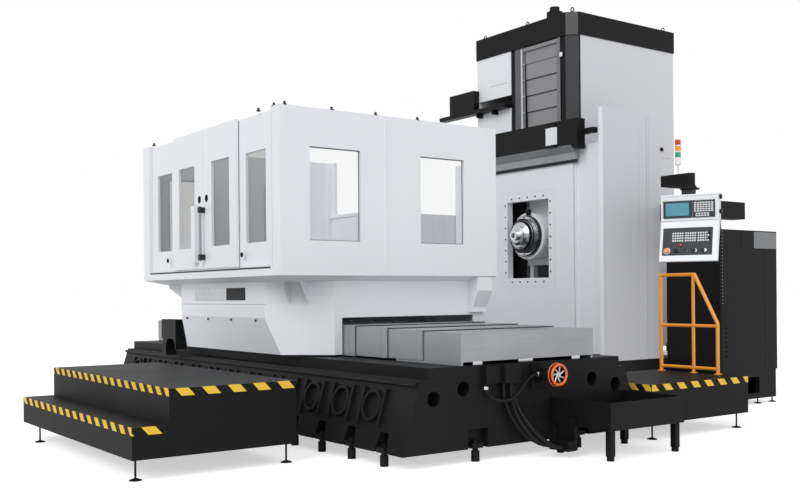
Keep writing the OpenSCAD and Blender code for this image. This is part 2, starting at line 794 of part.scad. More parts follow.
module door_pane() color([0.8, 0.87, 0.9, 0.3])
  block([door_windows[0] - rim, -enc_front + door_t, win_z - rim],
        [door_windows[1] + rim, -enc_front + door_t + pane_t, win_z + pane_h + rim]);

pull_z = win_z - 172;
pull_l = 640;

module door_right() color([0.84, 0.85, 0.86]) {
  door_leaf();
  // tube pull on two mounts
  translate([36, -enc_front - 52, pull_z + 16]) cylinder(r = 15, h = pull_l - 32);
  for (z = [pull_z + 30, pull_z + pull_l - 90])
    block([12, -enc_front - 70, z], [60, -enc_front + 1, z + 60]);
}

module door_left() color([0.84, 0.85, 0.86]) {
  mirror([1, 0, 0]) door_leaf();
  // folded flat pull
  for (x = [-212, -118]) block([x, -enc_front - 46, pull_z], [x + 6, -enc_front + 1, pull_z + pull_l]);
  block([-212, -enc_front - 52, pull_z], [-112, -enc_front - 46, pull_z + pull_l]);
}

module door_right_pane() door_pane();
module door_left_pane() mirror([1, 0, 0]) door_pane();

// guide for the table's cable carrier, hung on the far chamfer of the skirt
carrier_y = -skirt_front + 20;
carrier_w = 140;
carrier_l = 440;
carrier_x = -skirt_l/2 - 156;
chamfer_sum = skirt_l/2 + skirt_front - skirt_cut;   // -x - y along the far chamfer

module carrier_box() color([0.06, 0.06, 0.065]) {
  z0 = skirt_z + 88;
  back = carrier_y + carrier_w;
  block([carrier_x, carrier_y, z0], [carrier_x + carrier_l, back, z0 + 240]);
  // quarter-round hood that turns the carrier down beside the bed
  difference() {
    translate([carrier_x + 275, back, z0 - 130]) rotate([90, 0, 0]) cylinder(r = 262, h = carrier_w);
    translate([carrier_x + 275, back + 1, z0 - 130]) rotate([90, 0, 0]) cylinder(r = 150, h = carrier_w + 2);
    block([carrier_x - 10, carrier_y - 5, z0 - 500], [carrier_x + 600, back + 5, z0 - 215]);
    block([carrier_x + 275, carrier_y - 5, z0 - 500], [carrier_x + 600, back + 5, z0 - 130]);
    block([carrier_x + carrier_l, carrier_y - 5, z0 - 500], [carrier_x + 600, back + 5, z0 + 200]);
  }
  // bracket to the chamfer
  translate([0, 0, z0 + 30]) linear_extrude(180)
    polygon([[carrier_x + 400, back - 70], [-chamfer_sum - (back - 70), back - 70],
             [-chamfer_sum - (back - 10), back - 10], [carrier_x + 400, back - 10]]);
}

// rotary table with T-slots
module rotary_table() color([0.45, 0.46, 0.47]) {
  pitch = table_side/slot_n;
  translate([0, 0, table_z]) difference() {
    union() {
      translate([-table_side/2, -table_side/2, 60]) cube([table_side, table_side, table_t - 60]);
      cylinder(r = 620, h = 60);
    }
    for (i = [0:slot_n - 1]) translate([-table_side/2 + (i + 0.5)*pitch, 0, 0]) {
      translate([-slot_w/2, -table_side/2 - 1, table_t - 42]) cube([slot_w, table_side + 2, 43]);
      translate([-slot_w*0.85, -table_side/2 - 1, table_t - 42]) cube([slot_w*1.7, table_side + 2, 18]);
    }
    translate([0, 0, table_t - 30]) cylinder(r = 45, h = 31);
  }
}

// -------------------------------------------- column

module column() color([0.24, 0.25, 0.26]) {
  difference() {
    union() {
      // base, two uprights, tie at the top and rear web
      block([-upright_out - 60, column_y, column_z], [upright_out + 10, column_y + column_d, column_z + 260]);
      for (s = [0, 1]) mirror([s, 0, 0])
        block([upright_in, column_y, column_z + 260], [upright_out, column_y + 1060, column_top]);
      block([-upright_out, column_y, column_top - 260], [upright_out, column_y + 1060, column_top]);
      block([-upright_out, column_y + 1000, column_z + 260], [upright_out, column_y + 1060, column_top]);
    }
    // cored windows in the uprights
    for (z = [column_z + 700:900:column_top - 700])
      translate([-upright_out - 1, column_y + 620, z]) rotate([0, 90, 0])
        cylinder(r = 190, h = upright_out - upright_in - 60);
    for (z = [column_z + 700:900:column_top - 700])
      translate([upright_in + 61, column_y + 620, z]) rotate([0, 90, 0])
        cylinder(r = 190, h = upright_out - upright_in);
  }
  // head ways on the uprights' inner faces
  for (s = [0, 1]) mirror([s, 0, 0])
    block([upright_in - 40, column_y + 150, column_z + 300], [upright_in, column_y + 230, column_top - 300]);
  // carriages on the bed's ways
  for (e = [200, column_d - 200], s = [-1, 1]) difference() {
    block([s*way_off - 100, column_y + e - 150, zbed_top + 20],
          [s*way_off + 100, column_y + e + 150, column_z]);
    block([s*way_off - way_w/2 - 0.5, column_y + e - 151, zbed_top],
          [s*way_off + way_w/2 + 0.5, column_y + e + 151, zrail_z + 0.5]);
  }
  // spacers that carry the tower's side strips and the wall before them
  for (x = strip_arms, z = [strip_z + 40, strip_top - 200])
    block([x[0], tower_y + tower_t + 14, z], [x[1], column_y, z + 120]);
}

strip_arms = [[440, 495], [-590, -535]];

module wall_strips() color([0.85, 0.86, 0.87]) {
  lap = 40;
  for (e = [[wall_half - lap, strip_half], [-far_strip, -wall_half + lap]])
    block([e[0], strip_y, strip_z], [e[1], strip_y + strip_t, strip_top]);
  // foot panel under the sliding wall
  block([-wall_half + lap, strip_y, strip_z], [wall_half - lap, strip_y + strip_t, wall_z + 60]);
  // upright folds beside the sliding wall and at the outer edges
  for (s = [-1, 1]) {
    x = s*(wall_half + 24);
    block([x - 12, strip_y - 26, strip_z + 10], [x + 12, strip_y, hood_low - 20]);
  }
  block([strip_half - 60, strip_y - 14, strip_z + 10], [strip_half - 20, strip_y, strip_top - 20]);
  // rear beams and arms that carry the strips
  back = strip_y + strip_t;
  for (z = [strip_z + 40, strip_top - 200]) {
    block([strip_arms[0][0], back, z], [strip_half - 20, back + 50, z + 120]);
    block([-far_strip + 20, back, z], [strip_arms[1][1], back + 50, z + 120]);
    for (x = strip_arms) block([x[0], back, z], [x[1], tower_y + 14, z + 120]);
  }
}

// sliding wall with the bolted window frame set flush into its face
window_z0 = spindle_z - window_h*0.543;
window_z1 = window_z0 + window_h;

module spindle_wall() color([0.87, 0.88, 0.89]) {
  wx = window_w/2;
  fx = wx + frame_w;
  bx = wx + frame_w/2;
  hole = [[-wx, window_z0, wx, window_z1]];
  difference() {
    pierced([-wall_half, wall_y, wall_z], [wall_half, wall_y + wall_t, wall_top], hole);
    // joint line round the frame
    difference() {
      block([-fx, wall_y - 1, window_z0 - frame_w], [fx, wall_y + 4, window_z1 + frame_w]);
      block([-fx + 3, wall_y - 2, window_z0 - frame_w + 3], [fx - 3, wall_y + 5, window_z1 + frame_w - 3]);
    }
    // sunk screws of the frame and of the wall's near edge
    for (x = [-1, -0.33, 0.33, 1], z = [window_z0 - frame_w/2, window_z1 + frame_w/2])
      translate([x*bx, wall_y - 1, z]) rotate([-90, 0, 0]) cylinder(r = bolt_r, h = 7, $fn = 24);
    for (s = [-1, 1], i = [1:3])
      translate([s*bx, wall_y - 1, window_z0 - frame_w/2 + i*(window_h + frame_w)/4])
        rotate([-90, 0, 0]) cylinder(r = bolt_r, h = 7, $fn = 24);
    for (s = [-1, 1], z = [wall_z + 160:420:hood_low - 100])
      translate([s*(wall_half - 22), wall_y - 1, z])
        rotate([-90, 0, 0]) cylinder(r = bolt_r, h = 7, $fn = 24);
  }
  // inner bezel
  pierced([-wx - 14, wall_y + wall_t, window_z0 - 14], [wx + 14, wall_y + wall_t + 60, window_z1 + 14], hole);
}

head_z0 = spindle_z - 400;
head_z1 = spindle_z + 430;
head_half = 380;

module headstock() color([0.8, 0.81, 0.8]) {
  difference() {
    union() {
      block([-head_half, column_y - 40, head_z0], [head_half, column_y + 980, head_z1]);
      // neck that carries the milling spindle
      translate([0, flange_y + 60, spindle_z]) rotate([-90, 0, 0])
        cylinder(r = flange_d/2 + 40, h = column_y - 40 - flange_y - 60);
      // guide shoes round the head ways
      for (s = [0, 1]) mirror([s, 0, 0])
        block([head_half - 1, column_y + 60, head_z0 + 40], [upright_in - 3, column_y + 320, head_z1 - 40]);
      // arms that carry the sliding wall
      for (z = [head_z0 - 295, head_z1 + 200])
        block([-head_half, wall_y + wall_t, z], [head_half, wall_y + wall_t + 40, z + 80]);
      for (s = [-1, 1], z = [head_z0 - 295, head_z1 + 200])
        block([s*285 - 35, wall_y + wall_t + 40, z], [s*285 + 35, column_y + 60, z + 80]);
      for (s = [-1, 1], z = [head_z0 - 295, head_z1 - 20])
        block([s*285 - 35, column_y - 20, z], [s*285 + 35, column_y + 60, z + 300]);
    }
    // bore for the spindle
    translate([0, flange_y - 200, spindle_z]) rotate([-90, 0, 0])
      cylinder(r = quill_r + 50 + fit_gap, h = 2400);
    // slots over the head ways
    for (s = [0, 1]) mirror([s, 0, 0])
      block([upright_in - 42, column_y + 148, head_z0 - 1], [upright_in + 5, column_y + 232, head_z1 + 1]);
  }
  // lowest slat, which rises with the head
  block([-slat_w/2, slat_y(slat_n), head_z1],
        [slat_w/2, slat_y(slat_n) + slat_t, slat_top - (slat_n - 1)*slat_pitch + slat_lap]);
}

function slat_y(i) = tower_y + tower_t + 6 + (i - 1)*slat_step;

// slat i counts from the top; each hangs behind the one above
module slat(i) color([0.42, 0.43, 0.45]) {
  z1 = slat_top - (i - 1)*slat_pitch + slat_lap;
  z0 = slat_top - i*slat_pitch;
  block([-slat_w/2, slat_y(i), z0], [slat_w/2, slat_y(i) + slat_t, i == 1 ? slat_top : z1]);
  // folded lip at its foot
  block([-slat_w/2, slat_y(i) - 3, z0], [slat_w/2, slat_y(i), z0 + 14]);
}

module slat_2() slat(2);
module slat_3() slat(3);
module slat_4() slat(4);
module slat_5() slat(5);

// milling spindle: stepped rings round the quill
module spindle_flange() color([0.7, 0.71, 0.72]) {
  r = flange_d/2;
  translate([0, flange_y, spindle_z]) rotate([90, 0, 0]) difference() {
    rotate_extrude() polygon([[quill_r + fit_gap, -58], [r, -58], [r, -8], [r - 12, 6], [r - 44, 6],
      [r - 44, 34], [r - 76, 52], [r - 98, 52], [r - 98, 86], [r - 128, 110], [r - 150, 110],
      [r - 150, 148], [quill_r + 34, 164], [quill_r + fit_gap, 164]]);
    for (a = [0:30:330]) rotate(a) {
      translate([r - 27, 0, -4]) cylinder(r = 10, h = 20, $fn = 24);
      translate([r - 86, 0, 40]) cylinder(r = 8, h = 20, $fn = 24);
    }
  }
  // shaft of the spindle inside the head
  translate([0, flange_y + 58, spindle_z]) rotate([-90, 0, 0]) difference() {
    cylinder(r = quill_r + 50, h = 1100);
    translate([0, 0, -1]) cylinder(r = quill_r + fit_gap, h = 1102);
  }
}

// boring quill with its taper socket and drive keys
module quill() color([0.78, 0.79, 0.8]) {
  translate([0, nose_y, spindle_z]) rotate([-90, 0, 0]) difference() {
    union() {
      cylinder(r = quill_r, h = quill_l);
      for (s = [-1, 1]) translate([s*46 - 12, -12.7, -7]) cube([24, 25.4, 8]);
    }
    translate([0, 0, -1]) cylinder(r1 = 35.2, r2 = 20, h = 105);
    translate([0, 0, 100]) cylinder(r = 14, h = 220);
  }
}

// -------------------------------------------- tower

module tower_cover() color([0.83, 0.84, 0.85]) {
  z0 = strip_z;
  // side walls and back
  block([tower_near - tower_t, tower_y + 160, z0], [tower_near, tower_back, band_z]);
  block([-tower_far, tower_y, z0], [-tower_far + tower_t, tower_back, band_z]);
  block([-tower_far + tower_t, tower_back - tower_t, z0], [tower_near - tower_t, tower_back, band_z]);
  // far front panel, folded in at its foot
  block([-tower_far + tower_t, tower_y, tray_z + 190], [-602, tower_y + tower_t, band_z]);
  block([-tower_far + tower_t, tower_y, z0], [-602, tower_y + tower_t, tray_z]);
  // brackets to the column
  for (z = [z0 + 500, band_z - 400]) {
    block([upright_out, column_y + 200, z], [tower_near - tower_t, column_y + 300, z + 80]);
    block([-tower_far + tower_t, column_y + 200, z], [-upright_out, column_y + 300, z + 80]);
  }
}

corner_leg = 133;   // leg of the chamfer on the tower's near corner
corner_t = 8;

module corner_cut(g, z) {
  translate([tower_near + g, tower_y - g, z]) rotate([0, 0, -45])
    translate([-corner_leg*0.7071, -250, 0]) cube([300, 500, tower_top]);
}

module tower_band() color([0.06, 0.06, 0.065]) {
  difference() {
    block([-tower_far - 12, tower_y - 12, band_z], [tower_near + 12, tower_back + 12, tower_top]);
    difference() {
      block([-tower_far + tower_t, tower_y + tower_t, band_z - 1],
            [tower_near - tower_t, tower_back - tower_t, tower_top - 20]);
      corner_cut(-corner_t, band_z - 2);
    }
    corner_cut(12, band_z - 1);
    // opening for the lift motor
    block([lift_x - 90, column_y - 10, tower_top - 30], [lift_x + 90, column_y + 170, tower_top + 1]);
  }
}

lift_x = 120;

// dark corner post, side strips and the fixed top slat
module tower_posts() color([0.2, 0.21, 0.22]) {
  edge = tower_near - corner_leg;
  difference() {
    block([edge, tower_y, strip_z], [tower_near, tower_y + 160, band_z]);
    difference() {
      block([edge - 1, tower_y + tower_t, strip_z - 1],
            [tower_near - tower_t, tower_y + 161, band_z + 1]);
      corner_cut(-corner_t, strip_z - 2);
    }
    corner_cut(0, strip_z - 1);
  }
  block([404, tower_y + 14, strip_z], [edge, tower_y + tower_t + 14, band_z]);
  block([slat_w/2 + 8, tower_y + 6, strip_z], [404, tower_y + tower_t + 6, band_z]);
  block([-515, tower_y + 6, strip_z], [-slat_w/2 - 8, tower_y + tower_t + 6, band_z]);
  block([-602, tower_y + 14, strip_z], [-515, tower_y + tower_t + 14, band_z]);
  slat(1);
  block([-404, tower_y + 6, slat_top - 50], [404, slat_y(1), slat_top]);
}

module lift_motor() color([0.08, 0.08, 0.085]) {
  translate([lift_x, column_y + 80, column_top]) {
    translate([-105, -80, 0]) cube([210, 185, 20]);
    translate([-80, -80, 20]) cube([160, 160, 270]);
    translate([0, 0, 290]) cylinder(r = 70, h = 60);
  }
}

tray_z = spindle_z + tray_up;
tray_end = -tower_far - 782;

module changer_tray() color([0.07, 0.07, 0.075]) {
  y0 = tower_y - 130;
  // tray of the tool changer's arm, open at the top
  difference() {
    union() {
      block([tray_end, y0, tray_z], [-602, tower_y, tray_z + 60]);
      block([-tower_far + tower_t, tower_y, tray_z], [-602, tower_y + 300, tray_z + 60]);
    }
    block([tray_end + 8, y0 + 8, tray_z + 8], [-610, tower_y - 8, tray_z + 61]);
  }
  // motor box
  block([-1890, y0 + 10, tray_z + 8], [-tower_far + 44, tower_y - 12, tray_z + 360]);
  // hanger plates under the tray
  for (x = [-900, -1250]) block([x - 15, y0 + 20, tray_z - 60], [x + 15, tower_y, tray_z]);
}

// -------------------------------------------- wall hood and beam

module wiper_hood() color([0.5, 0.51, 0.52]) {
  x = wall_half + 88;
  z0 = hood_low;
  y1 = wall_y;
  // sloping sheet that sheds coolant from the sliding wall
  translate([-x, 0, 0]) rotate([90, 0, 90]) linear_extrude(2*x)
    polygon([[y1, z0], [y1 - 26, z0], [y1 - 44, z0 + 44], [y1 - 44, z0 + 130],
             [y1 - 120, z0 + hood_h - 20], [y1 - 120, z0 + hood_h], [y1, z0 + hood_h]]);
}

module cross_beam() color([0.06, 0.06, 0.065]) {
  x = wall_half + 144;
  z0 = strip_top;
  block([-x, wall_y - 150, z0], [x, wall_y, z0 + beam_h]);
  // end cheeks
  for (s = [-1, 1])
    block([s*(x + 40) - 40, wall_y - 150, z0 - 60], [s*(x + 40) + 40, wall_y, z0 + beam_h]);
  // end block of the beam's cable duct
  block([550, wall_y - 170, z0 - 14], [725, wall_y - 150, z0 + beam_h - 14]);
  // rail end that runs beside the near guard
  block([x + 80, wall_y - 60, z0 + 120], [guard_x - 34, wall_y + 20, z0 + 190]);
}

// -------------------------------------------- guards

module side_guards() {
  color([0.86, 0.87, 0.88]) guard_sheets();
  // dark bases
  color([0.06, 0.06, 0.065]) {
    block([guard_x, wall_y, guard_foot_z], [guard_out, guard_end, guard_z]);
    block([-far_guard_x - guard_t - 40, far_guard_y, 0], [-far_guard_x, guard_end, guard_z]);
    for (y = [far_guard_y + 300, guard_end - 400]) block([-far_guard_x, y, 132], [-guard_x, y + 90, 192]);
  }
}

module guard_sheets() {
  difference() {
    block([guard_x, wall_y, guard_z], [guard_out, guard_end, guard_top]);
    // joint between the guard's two sheets
    block([guard_out - 2, wall_y + guard_l*0.62, guard_z - 1],
          [guard_out + 1, wall_y + guard_l*0.62 + 4, guard_top + 1]);
  }
  block([-far_guard_x - guard_t, far_guard_y, guard_z], [-far_guard_x, guard_end, far_guard_top]);
  // folded joint post of the far guard
  block([-far_guard_x, far_guard_y + 780, guard_z], [-far_guard_x + 12, far_guard_y + 900, far_guard_top]);
  // track for the beam's rail end, inside the near guard
  block([guard_x - 30, wall_y + 20, strip_top + 100], [guard_x, guard_end - 40, strip_top + 210]);
}

// -------------------------------------------- cabinet

hinge_x = cab_x - cab_d - 12;
hinge_y = cab_y - 12;
hinge_zs = [cab_z + 260, cab_top - 340];

module cabinet() color([0.1, 0.1, 0.105]) {
  x0 = cab_x - cab_d;
  difference() {
    block([x0, cab_y, cab_z], [cab_x, cab_rear, cab_top]);
    block([x0 + 30, cab_y - 1, cab_z + 30], [cab_x - 30, cab_end - 30, cab_top - 30]);
    // joint before the rear part, and the vent slots of the side panel
    block([cab_x - 4, cab_end - 2, cab_z - 1], [cab_x + 1, cab_end + 3, cab_top + 1]);
    for (z = [cab_z + 200:60:cab_z + 560])
      block([cab_x - 31, cab_y + 70, z], [cab_x + 1, cab_y + 100, z + 24]);
  }
  // mounting plate on the back wall, and a bare plate on the side panel
  block([x0 + 60, cab_end - 60, cab_z + 60], [cab_x - 60, cab_end - 30, cab_top - 60]);
  block([cab_x, cab_end - 513, cab_top - 238], [cab_x + 3, cab_end - 13, cab_top - 13]);
  // base frame
  difference() {
    block([x0 + 10, cab_y + 14, cab_foot_z], [cab_x - 10, cab_rear - 20, cab_z]);
    block([x0 + 70, cab_y + 64, cab_foot_z - 1], [cab_x - 70, cab_rear - 70, cab_z - 60]);
    block([x0, cab_y + 120, cab_foot_z + 70], [cab_x, cab_end - 120, cab_z - 90]);
  }
  // hinge pins and their ears
  for (z = hinge_zs) {
    translate([hinge_x, hinge_y, z - 10]) cylinder(r = 6, h = 100);
    for (e = [z - 12, z + 82]) block([hinge_x - 8, hinge_y - 8, e], [x0, cab_y + 30, e + 10]);
    for (e = [z - 12, z + 82]) block([x0 - 1, cab_y, e], [x0 + 10, cab_y + 30, e + 10]);
  }
}

module cabinet_door() color([0.1, 0.1, 0.105]) {
  x0 = cab_x - cab_d;
  difference() {
    union() {
      block([x0 + 3, cab_y - 24, cab_z + 3], [cab_x - 3, cab_y - 2, cab_top - 3]);
      for (z = hinge_zs) {
        translate([hinge_x, hinge_y, z]) cylinder(r = 11, h = 80);
        block([hinge_x, cab_y - 23, z], [x0 + 6, cab_y - 15, z + 80]);
      }
    }
    for (z = hinge_zs) translate([hinge_x, hinge_y, z - 1]) cylinder(r = 6 + fit_gap, h = 82);
  }
  // two quarter-turn knobs near the free edge
  for (x = [cab_x - 130, cab_x - 64]) translate([x, cab_y - 24, cab_z + 900]) rotate([90, 0, 0]) {
    cylinder(r = 24, h = 8);
    cylinder(r = 16, h = 34);
  }
}

duct_z = cab_top + 160;

module cable_duct() color([0.06, 0.06, 0.065]) {
  x = cab_x - 250;
  // post, box beam and its link to the near guard
  block([x - 55, cab_y + 156, cab_top], [x + 55, cab_y + 266, duct_z]);
  block([x - 100, cab_y - 500, duct_z], [x + 100, cab_end - 204, duct_z + 224]);
  block([guard_x, guard_end, duct_z], [x - 100, guard_end + 170, duct_z + 224]);
  // boom, collar and pivot pin of the pendant arm
  hull() {
    block([x - 90, cab_y - 500, duct_z + 30], [x + 90, cab_y - 480, duct_z + 200]);
    translate([arm_x, pivot_y, duct_z + 60]) cylinder(r = arm_half + 8, h = 140);
  }
  translate([arm_x, pivot_y, duct_z + 190]) cylinder(r = 50, h = arm_z - duct_z - 194);
  translate([arm_x, pivot_y, arm_z - 10]) cylinder(r = pin_r, h = arm_h + 20);
}

// -------------------------------------------- platforms and railing

// sheet-metal platform block, open to the floor, with cross ribs under its deck
module platform_shell(lo, hi, ribs) {
  difference() {
    block(lo, hi);
    block([lo[0] + plate_t, lo[1] + plate_t, lo[2] - 1], [hi[0] - plate_t, hi[1] - plate_t, hi[2] - plate_t]);
  }
  for (i = [1:ribs]) {
    x = lo[0] + i*(hi[0] - lo[0])/(ribs + 1);
    block([x - 20, lo[1] + plate_t, hi[2] - plate_t - 60], [x + 20, hi[1] - plate_t, hi[2] - plate_t]);
  }
}

module operator_platform() color([0.07, 0.07, 0.075]) {
  platform_shell([deck_far_x, step_y, platform_z], [deck_x, deck_y, high_deck_z], 5);
  difference() {
    platform_shell([deck_far_x, front_y, platform_z], [deck_x, step_y + plate_t, low_deck_z], 5);
    block([deck_far_x - 1, step_y, platform_z - 2], [deck_x + 1, step_y + 50, high_deck_z]);
  }
  // angle brackets that hold the feet
  for (x = deck_foot_x) {
    block([x - 30, front_y + plate_t, platform_z], [x + 30, front_y + 100, platform_z + 8]);
    block([x - 30, deck_y - 90, platform_z], [x + 30, deck_y - plate_t, platform_z + 8]);
  }
}

module service_platform() color([0.07, 0.07, 0.075]) {
  y0 = service_y;
  y1 = service_y + service_l;
  x0 = service_x - service_depth;
  platform_shell([x0, y0, service_z], [service_x, y1, service_top], 3);
  // cross angles that hold the feet
  for (y = service_foot_y)
    block([x0 + plate_t, y - 30, service_z], [service_x - plate_t, y + 30, service_z + 8]);
}

module tube_between(a, b, r) {
  d = b - a;
  l = norm(d);
  translate(a) rotate([0, acos(d[2]/l), atan2(d[1], d[0])]) cylinder(r = r, h = l, $fn = 32);
}

rail_x0 = service_x - service_depth + 135;
rail_x1 = service_x - 360;
rail_y = service_y + service_l - 40;
rail_top = service_top + rail_h;

module railing() color([0.93, 0.55, 0.16]) {
  r = rail_d/2;
  bend_x = rail_x1 - 310;
  bend_z = rail_top - 560;
  low_z = service_top + 60;
  mid_z = bend_z - 30;
  tube_between([rail_x0, rail_y, service_top], [rail_x0, rail_y, rail_top], r);
  tube_between([rail_x0, rail_y, rail_top], [bend_x, rail_y, rail_top], r);
  tube_between([bend_x, rail_y, rail_top], [rail_x1, rail_y, bend_z], r);
  tube_between([rail_x1, rail_y, bend_z], [rail_x1, rail_y, service_top], r);
  tube_between([bend_x - 20, rail_y, service_top], [bend_x - 20, rail_y, rail_top], r*0.9);
  for (z = [low_z, mid_z]) tube_between([rail_x0, rail_y, z], [rail_x1, rail_y, z], r*0.9);
  for (p = [[bend_x, rail_top], [rail_x1, bend_z], [rail_x0, rail_top]])
    translate([p[0], rail_y, p[1]]) sphere(r = r);
  for (x = [rail_x0, bend_x - 20, rail_x1]) translate([x, rail_y, service_top]) cylinder(r = 45, h = 8);
}

// -------------------------------------------- feed motor and service box

motor_y = 90;
motor_z = shoulder_z - 10;
ring_x = bed_x + 215;

module feed_motor() color([0.1, 0.1, 0.105]) {
  // bracket, gearbox and servo motor, whose ring carries the cooling fan
  block([bed_x, motor_y - 110, motor_z - 130], [bed_x + 24, motor_y + 110, motor_z + 92]);
  translate([bed_x + 24, motor_y, motor_z]) rotate([0, 90, 0]) {
    cylinder(r = 84, h = 30);
    translate([-56, -56, 30]) cube([112, 112, 100]);
    cylinder(r = 60, h = ring_x - bed_x - 24);
  }
  translate([ring_x, motor_y, motor_z]) rotate([0, 90, 0]) {
    difference() {
      cylinder(r = 104, h = 62);
      translate([0, 0, 14]) cylinder(r = 78, h = 60);
      for (a = [0:60:300]) rotate(a) translate([96, 0, 30]) cylinder(r = 9, h = 40, $fn = 32);
    }
    cylinder(r = 26, h = 56);
    for (a = [0:60:300]) rotate(a) translate([22, -5, 40]) cube([58, 10, 12]);
  }
  // gland of the loop hose
  translate([bed_x + 104, motor_y - 56, motor_z]) rotate([90, 0, 0]) cylinder(r = 20, h = 24);
}

tbox_y = motor_y - 695;
tbox_w = 190;
tbox_z = motor_z - 58;
gland_h = 24;
hose_glands = [[bed_x + 35, tbox_y + 230], [bed_x + 75, tbox_y + 285], [bed_x + 35, tbox_y + 340]];

module terminal_box() color([0.12, 0.12, 0.125]) {
  block([bed_x, tbox_y, tbox_z], [bed_x + 70, tbox_y + tbox_w - 4, tbox_z + 158]);
  block([bed_x, tbox_y + tbox_w, tbox_z], [bed_x + 112, tbox_y + 2*tbox_w, tbox_z + 158]);
  for (g = hose_glands) translate([g[0], g[1], tbox_z - gland_h]) cylinder(r = 24, h = gland_h);
  translate([bed_x + 40, tbox_y + 20, tbox_z - gland_h]) cylinder(r = 20, h = gland_h);
}

manifold_y = 60;

module service_box() color([0.07, 0.07, 0.075]) {
  difference() {
    block([box_x, box_y, box_z], [box_x + box_l, box_y + box_w, box_top]);
    block([box_x + 5, box_y + 5, box_z + 5], [box_x + box_l - 5, box_y + box_w - 5, box_top + 1]);
  }
  for (x = [box_x + 60, box_x + box_l - 60], y = [box_y + 60, box_y + box_w - 60]) {
    block([x - 30, y - 30, 40], [x + 30, y + 30, box_z]);
    translate([x, y, 0]) cylinder(r = 34, h = 40);
  }
  // hose manifold hung in front of the box's foot
  block([box_x + 120, manifold_y + 24, 60], [box_x + 360, box_y - 40, 150]);
  block([box_x + 140, box_y - 40, 60], [box_x + 340, box_y, box_z + 80]);
  for (i = [0:2]) translate([box_x + 170 + i*70, manifold_y + 24, 105]) rotate([90, 0, 0])
    cylinder(r = 24, h = 24);
}

// -------------------------------------------- hoses

function unit(v) = v/norm(v);

// round tube with n sides along the points p
module tube(p, d, n) {
  last = len(p) - 1;
  rings = [for (i = [0:last])
    let (t = unit(p[min(i + 1, last)] - p[max(i - 1, 0)]), u = unit(cross(t, [1, 0, 0.02])), v = cross(t, u))
    for (j = [0:n - 1]) p[i] + d/2*(cos(360*j/n)*u + sin(360*j/n)*v)];
  sides = [for (i = [0:last - 1], j = [0:n - 1])
    [i*n + j, (i + 1)*n + j, (i + 1)*n + (j + 1)%n, i*n + (j + 1)%n]];
  caps = [[for (j = [0:n - 1]) j], [for (j = [0:n - 1]) last*n + n - 1 - j]];
  polyhedron(rings, concat(sides, caps));
}

loop_route = [[3495, -585, 668], [3495, -585, 654], [3498, -576, 613], [3507, -553, 579],
  [3522, -517, 553], [3542, -473, 537], [3568, -425, 532], [3575, -352, 545], [3577, -292, 576],
  [3575, -240, 619], [3572, -190, 665], [3567, -138, 707], [3562, -78, 738], [3559, -5, 750],
  [3559, 10, 750]];
hose_a_route = [[3490, -375, 668], [3490, -375, 644], [3494, -369, 556], [3507, -351, 473],
  [3525, -323, 395], [3546, -286, 325], [3570, -242, 262], [3594, -191, 208], [3615, -136, 165],
  [3633, -78, 132], [3646, -18, 112], [3650, 42, 105], [3650, 60, 105]];
hose_b_route = [[3530, -320, 668], [3530, -320, 644], [3535, -315, 549], [3550, -302, 461],
  [3571, -280, 382], [3597, -250, 312], [3625, -214, 251], [3653, -172, 200], [3679, -124, 159],
  [3700, -72, 129], [3715, -17, 111], [3720, 42, 105], [3720, 60, 105]];
hose_c_route = [[3490, -265, 668], [3490, -265, 644], [3498, -262, 571], [3521, -251, 496],
  [3555, -235, 422], [3596, -212, 351], [3640, -183, 284], [3684, -148, 226], [3725, -108, 176],
  [3759, -63, 138], [3782, -13, 114], [3790, 42, 105], [3790, 60, 105]];

module hose_loop() color([0.05, 0.05, 0.055]) tube(loop_route, loop_d, 10);
module hose_a() color([0.05, 0.05, 0.055]) tube(hose_a_route, hose_d, 10);
module hose_b() color([0.05, 0.05, 0.055]) tube(hose_b_route, hose_d, 10);
module hose_c() color([0.05, 0.05, 0.055]) tube(hose_c_route, hose_d, 10);

// -------------------------------------------- pendant

key_angle = atan(key_lean/(key_z - pendant_z));
key_len = norm([key_lean, key_z - pendant_z]);
pin_r = 30;
stop_x = 84;      // stop button and knob, from the pendant's left edge
knob_x = 190;
knob_up = 125;     // up the key panel from its foot

// turn of the whole pendant about its post, as it stands at rest
module turned()
  translate([post_x, arm_y, 0]) rotate(pendant_turn) translate([-post_x, -arm_y, 0]) children();

// frame of the leaning key panel: x along it, y up it, z out of it
module on_keys() {
  translate([pendant_x, pendant_y - key_lean, pendant_z]) rotate([90 - key_angle, 0, 0]) children();
}

module key_block(nx, ny, w, h, pitch_x, pitch_y) {
  for (i = [0:nx - 1], j = [0:ny - 1]) translate([i*pitch_x, j*pitch_y, -1]) cube([w, h, 4]);
}

